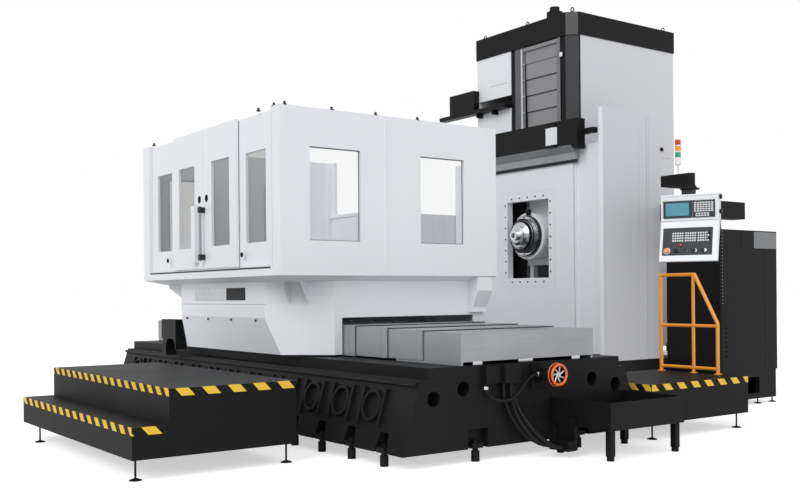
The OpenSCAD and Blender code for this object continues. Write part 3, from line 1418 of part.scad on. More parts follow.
module pendant() color([0.88, 0.88, 0.9]) {
  difference() {
    translate([pendant_x, 0, 0]) rotate([90, 0, 90]) linear_extrude(pendant_w)
      polygon([[pendant_y, pendant_top], [pendant_y - 8, pendant_top - 12], [pendant_y, key_z],
               [pendant_y - key_lean, pendant_z], [pendant_y - key_lean + 60, pendant_z - 8],
               [pendant_y + 60, key_z - 90], [pendant_y + 120, key_z + 40], [pendant_y + 120, pendant_top]]);
    // recess of the screen and keyboard unit
    block([pendant_x + 24, pendant_y - 20, key_z + 30],
          [pendant_x + pendant_w - 36, pendant_y + 8, pendant_top - 70]);
    on_keys() {
      translate([30, 70, -8]) cube([pendant_w - 90, key_len - 150, 30]);
      translate([stop_x, knob_up, -60]) cylinder(r = 16, h = 70);
      translate([knob_x, knob_up, -60]) cylinder(r = 6 + fit_gap, h = 70);
    }
  }
  // screen housing and keyboard plate
  screen_l = pendant_w - 305;
  block([pendant_x + 36, pendant_y - 2, key_z + 40], [pendant_x + screen_l, pendant_y + 8, pendant_top - 80]);
  block([pendant_x + screen_l + 18, pendant_y, key_z + 40],
        [pendant_x + pendant_w - 46, pendant_y + 8, pendant_top - 80]);
  translate([pendant_x + screen_l + 36, pendant_y, key_z + 140]) rotate([90, 0, 0])
    key_block(6, 4, 24, 18, 36, 28);
  translate([pendant_x + screen_l + 54, pendant_y, key_z + 62]) rotate([90, 0, 0])
    key_block(5, 2, 24, 18, 36, 28);
  on_keys() translate([0, 0, -8]) {
    for (x = [146, 296, 446]) translate([x, 190, 0]) key_block(4, 4, 24, 20, 33, 28);
    for (x = [300, 410, 520]) translate([x, knob_up, 0]) cylinder(r = 20, h = 22);
    translate([stop_x, knob_up, 0]) difference() {
      cylinder(r = 40, h = 8);
      translate([0, 0, -1]) cylinder(r = 16, h = 10);
    }
  }
  // swivel flange under the arm's post
  translate([post_x, arm_y, pendant_top]) {
    cylinder(r = 120, h = 14);
    cylinder(r = 70, h = arm_z - pendant_top - 60);
    cylinder(r = pin_r, h = arm_z - pendant_top + 20);
  }
  // back box under the flange
  block([post_x - 130, pendant_y + 110, pendant_top - 180], [post_x + 130, arm_y + 100, pendant_top]);
}

module stop_button() color([0.85, 0.3, 0.1]) on_keys() translate([stop_x, knob_up, 0]) {
  translate([0, 0, -44]) cylinder(r = 12, h = 60);
  translate([0, 0, 12]) cylinder(r = 31, h = 16);
  translate([0, 0, 28]) cylinder(r1 = 31, r2 = 24, h = 7);
}

module feed_knob() color([0.1, 0.1, 0.105]) on_keys() translate([knob_x, knob_up, 0]) {
  translate([0, 0, -50]) cylinder(r = 6, h = 56);
  translate([0, 0, -7]) cylinder(r = 22, h = 26);
  translate([-3, 0, 19]) cube([6, 20, 3]);
}

module pendant_arm() color([0.06, 0.06, 0.065]) {
  difference() {
    union() {
      // crank from the pivot, and the bar along it
      translate([arm_x, pivot_y, arm_z]) cylinder(r = arm_half, h = arm_h);
      block([arm_x - arm_half, arm_y - arm_half, arm_z], [arm_x + arm_half, pivot_y, arm_z + arm_h]);
      block([arm_x, arm_y - arm_half, arm_z], [post_x, arm_y + arm_half, arm_z + arm_h]);
      // post over the pendant, with its flange
      translate([post_x, arm_y, arm_z - 58]) {
        cylinder(r = 112, h = 14);
        cylinder(r1 = 96, r2 = arm_half, h = 58);
        cylinder(r = arm_half, h = arm_h + 58);
      }
    }
    translate([arm_x, pivot_y, arm_z - 1]) cylinder(r = pin_r + fit_gap, h = arm_h + 2);
    translate([post_x, arm_y, arm_z - 60]) cylinder(r = pin_r + fit_gap, h = 90);
  }
}

module tower_light() {
  translate([post_x - 168, arm_y, arm_z + arm_h]) {
    color([0.1, 0.1, 0.1]) cylinder(r = 20, h = 8);
    color([0.7, 0.7, 0.7]) cylinder(r = 9, h = 126);
    color([0.85, 0.85, 0.85]) for (i = [0:4]) translate([0, 0, 118 + i*74]) cylinder(r = 36.5, h = 14);
    color([0.8, 0.15, 0.1]) translate([0, 0, 354]) cylinder(r = 34, h = 60);
    color([0.95, 0.5, 0.1]) translate([0, 0, 280]) cylinder(r = 34, h = 60);
    color([0.1, 0.5, 0.35]) translate([0, 0, 206]) cylinder(r = 34, h = 60);
    color([0.9, 0.9, 0.9]) translate([0, 0, 132]) cylinder(r = 34, h = 60);
  }
}

placed() x_bed();
placed() ways();
placed() levelling_feet();
placed() z_bed();
placed() fixed_covers();
placed() side_guards();
placed() cabinet();
placed() cable_duct();
placed() operator_platform();
placed() service_platform();
placed() railing();
placed() feed_motor();
placed() terminal_box();
placed() service_box();
placed() hose_loop();
placed() hose_a();
placed() hose_b();
placed() hose_c();
placed() saddle();
placed() skirt();
placed() skirt_brackets();
placed() enclosure();
placed() enclosure_panes();
placed() saddle_covers();
placed() carrier_box();
placed() rotary_table();
placed() door_left();
placed() door_right();
placed() door_left_pane();
placed() door_right_pane();
placed() near_cover_a();
placed() near_cover_b();
placed() far_cover_a();
placed() far_cover_b();
placed() column();
placed() wall_strips();
placed() wiper_hood();
placed() cross_beam();
placed() tower_cover();
placed() tower_band();
placed() tower_posts();
placed() lift_motor();
placed() changer_tray();
placed() column_cover();
placed() column_cover_a();
placed() column_cover_b();
placed() headstock();
placed() spindle_wall();
placed() slat_2();
placed() slat_3();
placed() slat_4();
placed() slat_5();
placed() spindle_flange();
placed() quill();
placed() pendant_arm();
placed() tower_light();
placed() turned() pendant();
placed() turned() stop_button();
placed() turned() feed_knob();
placed() cabinet_door();
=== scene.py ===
import json
import math

import bpy
from mathutils import Matrix, Vector

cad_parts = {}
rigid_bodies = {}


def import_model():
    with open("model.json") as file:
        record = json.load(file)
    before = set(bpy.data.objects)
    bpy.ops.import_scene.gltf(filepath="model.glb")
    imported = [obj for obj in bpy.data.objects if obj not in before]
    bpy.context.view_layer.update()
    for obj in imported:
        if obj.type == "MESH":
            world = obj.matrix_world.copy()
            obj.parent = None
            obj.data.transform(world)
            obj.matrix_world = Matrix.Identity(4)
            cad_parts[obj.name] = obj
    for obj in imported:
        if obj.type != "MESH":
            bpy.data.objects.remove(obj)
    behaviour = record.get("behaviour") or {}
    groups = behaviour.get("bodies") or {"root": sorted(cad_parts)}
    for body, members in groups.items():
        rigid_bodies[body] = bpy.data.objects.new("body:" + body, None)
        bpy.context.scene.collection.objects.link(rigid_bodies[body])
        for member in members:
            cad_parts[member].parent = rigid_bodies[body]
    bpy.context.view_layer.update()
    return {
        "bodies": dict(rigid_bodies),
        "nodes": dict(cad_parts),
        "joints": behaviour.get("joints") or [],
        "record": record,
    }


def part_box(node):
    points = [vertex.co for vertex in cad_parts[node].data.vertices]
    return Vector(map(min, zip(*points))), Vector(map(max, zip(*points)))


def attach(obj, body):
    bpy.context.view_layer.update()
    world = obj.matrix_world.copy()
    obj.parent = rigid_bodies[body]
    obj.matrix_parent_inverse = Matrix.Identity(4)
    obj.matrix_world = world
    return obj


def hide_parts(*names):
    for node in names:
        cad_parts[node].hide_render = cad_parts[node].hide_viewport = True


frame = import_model()

# places are millimetres from the middle of the bed at the floor, and sizes are millimetres too,
# apart from those marked as metres and the scales inside the finishes
bedLow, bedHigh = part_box("x_bed")
bedMiddle = ((bedLow[0] + bedHigh[0]) / 2, (bedLow[1] + bedHigh[1]) / 2)


def at(x, y, z):
    return Vector((bedMiddle[0] + x / 1000, bedMiddle[1] + y / 1000, z / 1000))


print("frame loaded")

cameraSettings = {
    "place": (10180, -6333, 1500),
    "heading": (-0.8115, 0.5844, 0.0),
    "lens": 44.39,
    "sensor": 36,
    "shiftY": 0.0599,
    "roll": -0.5,  # degrees
    "clip": (0.1, 200),  # metres
}


def addCamera(s):
    bpy.ops.object.camera_add(location=at(*s["place"]))
    cam = bpy.context.object
    cam.name = "studioCamera"
    cam.data.lens = s["lens"]
    cam.data.sensor_width = s["sensor"]
    cam.data.shift_y = s["shiftY"]
    cam.data.clip_start, cam.data.clip_end = s["clip"]
    turn = Vector(s["heading"]).to_track_quat("-Z", "Y").to_matrix()
    cam.rotation_euler = (turn @ Matrix.Rotation(math.radians(s["roll"]), 3, "Z")).to_euler()
    bpy.context.scene.camera = cam


addCamera(cameraSettings)
scene = bpy.context.scene
scene.view_settings.view_transform = "Standard"
print("camera placed")


def groupWith(name, inputs, outputs):
    group = bpy.data.node_groups.new(name, "ShaderNodeTree")
    for label, kind, value in inputs:
        socket = group.interface.new_socket(label, in_out="INPUT", socket_type=kind)
        if value is not None:
            socket.default_value = value
    for label, kind in outputs:
        group.interface.new_socket(label, in_out="OUTPUT", socket_type=kind)
    return group, group.nodes.new("NodeGroupInput"), group.nodes.new("NodeGroupOutput")


def mathNode(tree, operation, a, b=None):
    node = tree.nodes.new("ShaderNodeMath")
    node.operation = operation
    for i, value in enumerate((a, b)):
        if isinstance(value, (int, float)):
            node.inputs[i].default_value = value
        elif value is not None:
            tree.links.new(value, node.inputs[i])
    return node.outputs[0]


def vectorMath(tree, operation, a, b=None, scale=None):
    node = tree.nodes.new("ShaderNodeVectorMath")
    node.operation = operation
    tree.links.new(a, node.inputs[0])
    if b:
        tree.links.new(b, node.inputs[1])
    if scale:
        tree.links.new(scale, node.inputs["Scale"])
    return node.outputs[0]


def mixColor(tree, factor, a, b):
    node = tree.nodes.new("ShaderNodeMix")
    node.data_type = "RGBA"
    for socket, value in ((node.inputs[0], factor), (node.inputs[6], a), (node.inputs[7], b)):
        if isinstance(value, (int, float)):
            socket.default_value = value
        elif isinstance(value, (tuple, list)):
            socket.default_value = (*value[:3], 1)
        else:
            tree.links.new(value, socket)
    return node.outputs[2]


def mixValue(tree, mask, outside, inside):
    kept = mathNode(tree, "MULTIPLY", outside, mathNode(tree, "SUBTRACT", 1.0, mask))
    return mathNode(tree, "ADD", kept, mathNode(tree, "MULTIPLY", mask, inside))


def noiseNode(tree, vector, scale, detail):
    node = tree.nodes.new("ShaderNodeTexNoise")
    node.inputs["Scale"].default_value = scale
    node.inputs["Detail"].default_value = detail
    tree.links.new(vector, node.inputs["Vector"])
    return node.outputs["Fac"]


def swingOf(tree, noise, amount):
    return mathNode(tree, "MULTIPLY", mathNode(tree, "SUBTRACT", noise, 0.5), amount)


finishInputs = [("Vector", "NodeSocketVector", None), ("Tint", "NodeSocketColor", (0.8, 0.8, 0.8, 1)),
                ("Gloss", "NodeSocketFloat", 0.4)]
finishOutputs = [("Color", "NodeSocketColor"), ("Roughness", "NodeSocketFloat"),
                 ("Height", "NodeSocketFloat")]
paintSettings = {"cloudScale": 0.9, "peelScale": 190.0, "roughSwing": 0.16}
brushedSettings = {"patchScale": 2.4, "grainTone": 0.22, "patchTone": 0.34, "darkest": 0.72,
                   "roughSwing": 0.3}
treadSettings = {"pitch": 140.0, "edge": 0.45, "strength": 0.5, "depth": 0.003}


def makePaintGroup(s):
    # enamel: cloudy tone and gloss, fine orange peel
    g, i, o = groupWith("enamelPaint", finishInputs + [("Cloud", "NodeSocketFloat", 0.05)], finishOutputs)
    cloud = noiseNode(g, i.outputs["Vector"], s["cloudScale"], 2.0)
    peel = noiseNode(g, i.outputs["Vector"], s["peelScale"], 1.0)
    bright = mathNode(g, "ADD", swingOf(g, cloud, i.outputs["Cloud"]), 1.0)
    g.links.new(vectorMath(g, "SCALE", i.outputs["Tint"], scale=bright), o.inputs["Color"])
    rough = mathNode(g, "ADD", i.outputs["Gloss"], swingOf(g, cloud, s["roughSwing"]))
    g.links.new(rough, o.inputs["Roughness"])
    g.links.new(peel, o.inputs["Height"])
    return g


def makeBrushedGroup(s):
    # sheet steel: long grain along one way, patches from handling
    g, i, o = groupWith("brushedSheet", finishInputs + [("Grain", "NodeSocketVector", (2.0, 120.0, 120.0))],
                        finishOutputs)
    grain = noiseNode(g, vectorMath(g, "MULTIPLY", i.outputs["Vector"], i.outputs["Grain"]), 1.0, 4.0)
    patch = noiseNode(g, i.outputs["Vector"], s["patchScale"], 3.0)
    tone = mathNode(g, "ADD", mathNode(g, "MULTIPLY", grain, s["grainTone"]),
                    mathNode(g, "MULTIPLY", patch, s["patchTone"]))
    bright = mathNode(g, "ADD", tone, s["darkest"])
    g.links.new(vectorMath(g, "SCALE", i.outputs["Tint"], scale=bright), o.inputs["Color"])
    rough = mathNode(g, "ADD", i.outputs["Gloss"], swingOf(g, patch, s["roughSwing"]))
    g.links.new(rough, o.inputs["Roughness"])
    g.links.new(grain, o.inputs["Height"])
    return g


def makeBoxMask():
    # 1 inside a box given by its centre and half sizes
    g, i, o = groupWith("boxMask", [("Vector", "NodeSocketVector", None),
                                    ("Centre", "NodeSocketVector", (0, 0, 0)),
                                    ("Half", "NodeSocketVector", (1, 1, 1))], [("Mask", "NodeSocketFloat")])
    away = vectorMath(g, "SUBTRACT", i.outputs["Vector"], i.outputs["Centre"])
    past = vectorMath(g, "SUBTRACT", vectorMath(g, "ABSOLUTE", away), i.outputs["Half"])
    parts = g.nodes.new("ShaderNodeSeparateXYZ")
    g.links.new(past, parts.inputs[0])
    far = mathNode(g, "MAXIMUM", mathNode(g, "MAXIMUM", parts.outputs[0], parts.outputs[1]), parts.outputs[2])
    g.links.new(mathNode(g, "LESS_THAN", far, 0.0), o.inputs["Mask"])
    return g


def makeHazardGroup():
    # leaning bars: Along is metres along the strip, Up metres across it
    g, i, o = groupWith("hazardBars", [("Along", "NodeSocketFloat", 0.0), ("Up", "NodeSocketFloat", 0.0),
                                       ("Pitch", "NodeSocketFloat", 0.19), ("Lean", "NodeSocketFloat", 0.5),
                                       ("Share", "NodeSocketFloat", 0.5)], [("Mask", "NodeSocketFloat")])
    leaning = mathNode(g, "ADD", i.outputs["Along"],
                       mathNode(g, "MULTIPLY", i.outputs["Up"], i.outputs["Lean"]))
    turns = mathNode(g, "DIVIDE", leaning, i.outputs["Pitch"])
    bars = mathNode(g, "LESS_THAN", mathNode(g, "FRACT", turns), i.outputs["Share"])
    g.links.new(bars, o.inputs["Mask"])
    return g


def makeTreadGroup(s):
    # raised tears of floor plate, in two directions
    g, i, o = groupWith("treadPlate", [("Vector", "NodeSocketVector", None)], [("Height", "NodeSocketFloat")])
    parts = g.nodes.new("ShaderNodeSeparateXYZ")
    g.links.new(i.outputs["Vector"], parts.inputs[0])
    waves = []
    for way in ("ADD", "SUBTRACT"):
        slanted = mathNode(g, way, parts.outputs[0], parts.outputs[1])
        waves.append(mathNode(g, "SINE", mathNode(g, "MULTIPLY", slanted, s["pitch"])))
    tears = mathNode(g, "GREATER_THAN", mathNode(g, "MULTIPLY", *waves), s["edge"])
    g.links.new(tears, o.inputs["Height"])
    return g


paintGroup = makePaintGroup(paintSettings)
brushedGroup = makeBrushedGroup(brushedSettings)
boxMask = makeBoxMask()
hazardGroup = makeHazardGroup()
treadGroup = makeTreadGroup(treadSettings)


def placeGroup(tree, group, **values):
    node = tree.nodes.new("ShaderNodeGroup")
    node.node_tree = group
    for label, value in values.items():
        socket = node.inputs[label]
        if isinstance(value, bpy.types.NodeSocket):
            tree.links.new(value, socket)
        elif isinstance(value, (tuple, list, Vector)):
            socket.default_value = (*value, 1) if socket.type == "RGBA" else value
        else:
            socket.default_value = value
    return node


def insideBox(tree, place, low, high):
    a, b = at(*low), at(*high)
    return placeGroup(tree, boxMask, Vector=place, Centre=(a + b) / 2, Half=(b - a) / 2).outputs[0]


def newMaterial(name):
    material = bpy.data.materials.new(name)
    material.use_nodes = True
    tree = material.node_tree
    shader = tree.nodes["Principled BSDF"]
    place = tree.nodes.new("ShaderNodeTexCoord").outputs["Object"]
    return material, tree, shader, place


def addBump(tree, shader, height, strength, depth):
    bump = tree.nodes.new("ShaderNodeBump")
    bump.inputs["Strength"].default_value = strength
    bump.inputs["Distance"].default_value = depth
    tree.links.new(height, bump.inputs["Height"])
    tree.links.new(bump.outputs[0], shader.inputs["Normal"])


darkTint = 0.1  # below this a tint counts as dark, and shines less
darkSpecular, paleSpecular = 0.16, 0.45
finishDepth = 0.002


def region(low, high, tone, rough=None, metal=None):
    # a box on a node that has another colour, and another roughness and metal where they are given
    return {"low": low, "high": high, "tone": tone, "rough": rough, "metal": metal}


def finishMaterial(name, tint, gloss=0.4, cloud=0.05, metal=0.0, grain=None, bump=0.04, regions=()):
    material, tree, shader, place = newMaterial(name)
    if grain:
        base = placeGroup(tree, brushedGroup, Vector=place, Tint=tint, Grain=grain, Gloss=gloss)
    else:
        base = placeGroup(tree, paintGroup, Vector=place, Tint=tint, Cloud=cloud, Gloss=gloss)
    color, rough = base.outputs["Color"], base.outputs["Roughness"]
    for r in regions:
        mask = insideBox(tree, place, r["low"], r["high"])
        color = mixColor(tree, mask, color, r["tone"])
        if r["rough"] is not None:
            rough = mixValue(tree, mask, rough, r["rough"])
        if r["metal"] is not None:
            metal = mixValue(tree, mask, metal, r["metal"])
    tree.links.new(color, shader.inputs["Base Color"])
    tree.links.new(rough, shader.inputs["Roughness"])
    shader.inputs["Specular IOR Level"].default_value = darkSpecular if max(tint) < darkTint else paleSpecular
    if isinstance(metal, float):
        shader.inputs["Metallic"].default_value = metal
    else:
        tree.links.new(metal, shader.inputs["Metallic"])
    addBump(tree, shader, base.outputs["Height"], bump, finishDepth)
    return material


def dress(material, *nodes):
    for name in nodes:
        mesh = frame["nodes"][name].data
        mesh.materials.clear()
        mesh.materials.append(material)


colors = {
    "white": (0.80, 0.82, 0.84),
    # painted shade of the tower's near face
    "shade": (0.66, 0.665, 0.69),
    # painted shade: the guards' white sheet greyed for their shaded faces
    "guard": (0.64, 0.645, 0.675),
    "black": (0.007, 0.007, 0.0075),
    "soot": (0.009, 0.009, 0.01),
    "dark": (0.03, 0.031, 0.033),
    # painted highlight on the tower's near corner post
    "postHighlightGrey": (0.055, 0.056, 0.06),
    "casting": (0.2, 0.21, 0.22),
    "slat": (0.27, 0.27, 0.275),
    "line": (0.28, 0.28, 0.29),
    "silver": (0.62, 0.63, 0.64),
    "chrome": (0.78, 0.79, 0.8),
    "orange": (0.87, 0.33, 0.03),
    "yellow": (0.86, 0.55, 0.05),
}

blackPaint = finishMaterial("blackEnamel", colors["black"], gloss=0.42, cloud=0.5)
castPaint = finishMaterial("blackCasting", colors["soot"], gloss=0.5, cloud=0.6, bump=0.25)
greyCasting = finishMaterial("greyCasting", colors["casting"], gloss=0.55, cloud=0.2, bump=0.3)
coverSteel = finishMaterial("coverSteel", (0.4, 0.415, 0.425), gloss=0.36, metal=0.65,
                            grain=(90.0, 1.6, 90.0), bump=0.03)
railSteel = finishMaterial("groundRail", colors["chrome"], gloss=0.22, metal=1.0, grain=(2.0, 150.0, 150.0),
                           bump=0.02)
hoseRubber = finishMaterial("hoseRubber", colors["soot"], gloss=0.3, cloud=0.3, bump=0.1)

dress(coverSteel, "fixed_covers", "saddle_covers", "near_cover_a", "near_cover_b", "far_cover_a",
      "far_cover_b", "column_cover", "column_cover_a", "column_cover_b")
dress(railSteel, "ways")
dress(castPaint, "x_bed", "z_bed", "levelling_feet")
dress(blackPaint, "cabinet", "cabinet_door", "cable_duct", "carrier_box", "lift_motor", "changer_tray",
      "pendant_arm", "feed_motor", "terminal_box", "service_box", "feed_knob")
dress(greyCasting, "saddle")


def hazardMaterial(name, strips, pitch, lean):
    # black sheet with leaning yellow bars along the strips
    material, tree, shader, place = newMaterial(name)
    base = placeGroup(tree, paintGroup, Vector=place, Tint=colors["black"], Cloud=0.5, Gloss=0.5)
    parts = tree.nodes.new("ShaderNodeSeparateXYZ")
    tree.links.new(place, parts.inputs[0])
    mask = 0.0
    for strip in strips:
        start = at(*strip["low"])[strip["axis"]]
        along = mathNode(tree, "SUBTRACT", parts.outputs[strip["axis"]], start)
        bars = placeGroup(tree, hazardGroup, Along=along, Up=parts.outputs[2], Pitch=pitch * strip["stretch"],
                          Lean=lean)
        within = insideBox(tree, place, strip["low"], strip["high"])
        mask = mathNode(tree, "MAXIMUM", mask, mathNode(tree, "MULTIPLY", within, bars.outputs[0]))
    tree.links.new(mixColor(tree, mask, base.outputs["Color"], colors["yellow"]), shader.inputs["Base Color"])
    tree.links.new(base.outputs["Roughness"], shader.inputs["Roughness"])
    shader.inputs["Specular IOR Level"].default_value = darkSpecular
    tread = placeGroup(tree, treadGroup, Vector=place).outputs[0]
    addBump(tree, shader, tread, treadSettings["strength"], treadSettings["depth"])
    return material


# axis is the one that the bars follow, stretch widens the bars of that strip
hazardBars = {
    "pitch": 0.186,  # metres
    "lean": 0.9,
    "operator_platform": (
        {"low": (-690, -3150, 672), "high": (2480, -3130, 740), "axis": 0, "stretch": 1.0},
        {"low": (-690, -3470, 375), "high": (2480, -3450, 443), "axis": 0, "stretch": 1.1},
        {"low": (2480, -3140, 672), "high": (2500, -1930, 740), "axis": 1, "stretch": 1.28},
        {"low": (2480, -3460, 375), "high": (2500, -3140, 443), "axis": 1, "stretch": 1.28},
    ),
    "service_platform": (
        {"low": (2310, 1498, 496), "high": (3600, 1518, 564), "axis": 0, "stretch": 1.0},
        {"low": (3600, 1508, 496), "high": (3620, 3110, 564), "axis": 1, "stretch": 1.2},
    ),
}
for name, node in (("operatorTread", "operator_platform"), ("serviceTread", "service_platform")):
    dress(hazardMaterial(name, hazardBars[node], hazardBars["pitch"], hazardBars["lean"]), node)

# the front panes are darkened with painted shade of the enclosure's inside, the side panes nearly clear
paneSettings = {
    "smearScale": 1.7,
    "smearRough": 0.12,
    "smearTone": 0.94,
    "sideTint": (0.5, 0.52, 0.53),
    "sideAlpha": 0.07,
    "frontShadeTint": (0.09, 0.085, 0.08),
    "frontShadeAlpha": 0.34,
    "frontCentre": (0, -1650, 2500),
    "frontHalf": (2.0, 0.12, 1.0),  # metres
}


def paneMaterial(name, s):
    material, tree, shader, place = newMaterial(name)
    smear = noiseNode(tree, place, s["smearScale"], 3.0)
    tree.links.new(mathNode(tree, "MULTIPLY", smear, s["smearRough"]), shader.inputs["Roughness"])
    # front masks the front panes, which take the painted shade
    front = placeGroup(tree, boxMask, Vector=place, Centre=at(*s["frontCentre"]),
                       Half=s["frontHalf"]).outputs[0]
    side = mixColor(tree, smear, s["sideTint"], [c * s["smearTone"] for c in s["sideTint"]])
    tree.links.new(mixColor(tree, front, side, s["frontShadeTint"]), shader.inputs["Base Color"])
    shadeAlpha = mathNode(tree, "MULTIPLY", front, s["frontShadeAlpha"] - s["sideAlpha"])
    tree.links.new(mathNode(tree, "ADD", shadeAlpha, s["sideAlpha"]), shader.inputs["Alpha"])
    return material


dress(paneMaterial("clearPane", paneSettings), "enclosure_panes", "door_left_pane", "door_right_pane")


def bandRegion(low, high, tone, rough):
    # a region all round a node, from one height to another
    reach = 9000
    return region((-reach, -reach, low), (reach, reach, high), tone, rough)


lampStack = {
    "body": (0.78, 0.78, 0.78),
    "foot": 2899,
    "height": 60,
    "rough": 0.12,
    "lamps": ((132, (0.82, 0.84, 0.83)), (206, (0.03, 0.33, 0.22)), (280, (0.9, 0.33, 0.03)),
              (354, (0.62, 0.035, 0.02))),
}
lampBands = [bandRegion(lampStack["foot"] + up, lampStack["foot"] + up + lampStack["height"], tone,
                        lampStack["rough"]) for up, tone in lampStack["lamps"]]
dress(finishMaterial("lampStack", lampStack["body"], gloss=0.3, cloud=0.03, regions=lampBands), "tower_light")

# the guards' grey is painted shade on their white sheet; dark feet of both guards, then two seams and the
# pale front edge of the near one, painted lighter as its lit face
dress(finishMaterial("guardEnamel", colors["guard"], gloss=0.42, cloud=0.03, regions=(
    region((1300, 3150, 90), (1450, 4400, 602), colors["black"], 0.5),
    region((-1750, 2000, 90), (-1300, 3300, 602), colors["black"], 0.5),
    region((1405, 4056, 602), (1420, 4061, 3880), colors["line"], 0.6),
    region((1405, 4100, 602), (1420, 4103, 3880), colors["line"], 0.6),
    region((1340, 3200, 602), (1420, 3213.5, 3900), (0.86, 0.87, 0.89), 0.35),
)), "side_guards")

dress(finishMaterial("skirtEnamel", colors["white"], gloss=0.38, cloud=0.03, regions=(
    region((-1400, -1502, 1399), (1400, -1490, 1403), colors["line"], 0.6),
)), "skirt", "skirt_brackets")

# gaps round the front panels: foot, far end, near end, head
dress(finishMaterial("enclosureEnamel", colors["white"], gloss=0.36, cloud=0.02, regions=(
    region((-1565, -1700, 1764), (1565, -1640, 1782), colors["dark"], 0.6),
    region((-1567, -1700, 1780), (-1563, -1640, 3352), colors["line"], 0.6),
    region((1600, -1700, 1780), (1604, -1640, 3352), colors["line"], 0.6),
    region((-1500, -1700, 3338), (1500, -1640, 3352), colors["line"], 0.6),
)), "enclosure", "wall_strips")

# seam of the front panel, painted shade on the near face, and its seam
dress(finishMaterial("towerEnamel", colors["white"], gloss=0.4, cloud=0.02, regions=(
    region((-1076, 3440, 4596), (-673, 3475, 4603), colors["line"], 0.6),
    region((634, 3480, 600), (660, 5620, 5100), colors["shade"], 0.4),
    region((630, 5302, 3468), (662, 5528, 3474), colors["line"], 0.6),
)), "tower_cover")

# the lighter grey at the near corner is a painted highlight on the band's chamfer facet
dress(finishMaterial("bandBlack", colors["black"], gloss=0.45, cloud=0.4, regions=(
    region((514, 3464, 5030), (644, 3598, 5370), (0.1, 0.1, 0.105), 0.5),
)), "tower_band")

# painted highlight on the facet of the corner post, then far side, far strip, slats, near strip
slatEdge, sheetEdge = 333, 403
dress(finishMaterial("postHighlightGrey", colors["black"], gloss=0.5, cloud=0.15, regions=(
    region((510, 3472, 3000), (638, 3602, 5046), colors["postHighlightGrey"], 0.5),
    region((-602, 3470, 3000), (-515, 3500, 5046), colors["black"], 0.5),
    region((-515, 3470, 3000), (-slatEdge, 3500, 5046), (0.13, 0.13, 0.135), 0.5),
    region((-slatEdge, 3470, 3000), (slatEdge, 3520, 5046), colors["slat"], 0.42),
    region((slatEdge, 3470, 3000), (sheetEdge, 3500, 5046), (0.2, 0.2, 0.205), 0.45),
)), "tower_posts")

dress(finishMaterial("hoodSteel", (0.33, 0.34, 0.35), gloss=0.4, metal=0.3, grain=(1.6, 90.0, 90.0), regions=(
    region((-1500, 3000, 3215), (1500, 3400, 3262), colors["dark"], 0.5),
)), "wiper_hood")
dress(finishMaterial("beamBlack", colors["black"], gloss=0.45, cloud=0.4, regions=(
    region((535, 3000, 3475), (745, 3300, 3706), colors["white"], 0.4),
)), "cross_beam")
dress(finishMaterial("headEnamel", (0.82, 0.83, 0.84), gloss=0.4, cloud=0.03), "headstock")
dress(finishMaterial("wallEnamel", colors["white"], gloss=0.36, cloud=0.02), "spindle_wall")
for node in ("slat_2", "slat_3", "slat_4", "slat_5"):
    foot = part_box(node)[0][2] * 1000
    fold = bandRegion(foot - 2, foot + 11, colors["black"], 0.5)
    dress(finishMaterial(node + "Sheet", colors["slat"], gloss=0.42, cloud=0.03, regions=[fold]), node)

# the flange's steps, from the wall outwards; the black on the rear step is painted shade
rearRing, middleRing, innerRing = 3212, 3150, 3104
dress(finishMaterial("flangeSteel", colors["silver"], gloss=0.2, metal=1.0, grain=(40.0, 3.0, 40.0), regions=(
    region((-300, middleRing, 1990), (300, rearRing + 10, 2600), colors["black"], 0.35, 0.3),
    region((-300, innerRing, 1990), (300, middleRing - 4, 2600), (0.2, 0.205, 0.21), 0.3, 0.9),
    region((-300, innerRing - 34, 1990), (300, innerRing, 2600), colors["dark"], 0.3, 0.5),
)), "spindle_flange")
dress(finishMaterial("quillSteel", colors["chrome"], gloss=0.16, metal=1.0, grain=(60.0, 2.0, 60.0)), "quill")
dress(finishMaterial("tableIron", (0.34, 0.35, 0.355), gloss=0.4, metal=0.55, grain=(2.0, 60.0, 2.0),
                     bump=0.05), "rotary_table")
dress(finishMaterial("columnCasting", colors["casting"], gloss=0.55, cloud=0.2, bump=0.3, regions=(
    region((-700, 3300, 1600), (700, 4700, 2900), colors["white"], 0.45),
)), "column")
dress(finishMaterial("railOrange", colors["orange"], gloss=0.3, cloud=0.06), "railing")
dress(finishMaterial("pendantEnamel", colors["white"], gloss=0.34, cloud=0.02, regions=(
    region((2500, 3100, 2632), (2900, 3500, 2900), colors["black"]),  # the swivel flange
)), "pendant")
dress(finishMaterial("stopOrange", (0.83, 0.24, 0.02), gloss=0.22, cloud=0.03), "stop_button")

doorTrim = {"cupX": (-92, 92), "cupHalf": 43, "pullX": (10, 62), "pullY": (-1766, -1694), "pullFoot": 1866,
            "pullHead": 2506, "clampUp": (28, 548), "clampHeight": 64}


def doorRegions(s):
    (x0, x1), (y0, y1), foot = s["pullX"], s["pullY"], s["pullFoot"]
    cups = [region((x - s["cupHalf"], -1692, 2532), (x + s["cupHalf"], -1668, 2618), colors["black"], 0.6)
            for x in s["cupX"]]
    bar = region((x0, y0, foot), (x1, y1, s["pullHead"]), (0.3, 0.31, 0.32), 0.3)
    clamps = [region((x0, y0, foot + up), (x1, y1, foot + up + s["clampHeight"]), colors["black"], 0.5)
              for up in s["clampUp"]]
    return cups + [bar] + clamps


dress(finishMaterial("doorEnamel", colors["white"], gloss=0.34, cloud=0.02, regions=doorRegions(doorTrim)),
      "door_left", "door_right")
print("nodes finished")

layoutFrame = Matrix.Translation(at(0, 0, 0)) @ Matrix.Scale(0.001, 4)  # millimetres to the frame's metres
everyEdge = 3


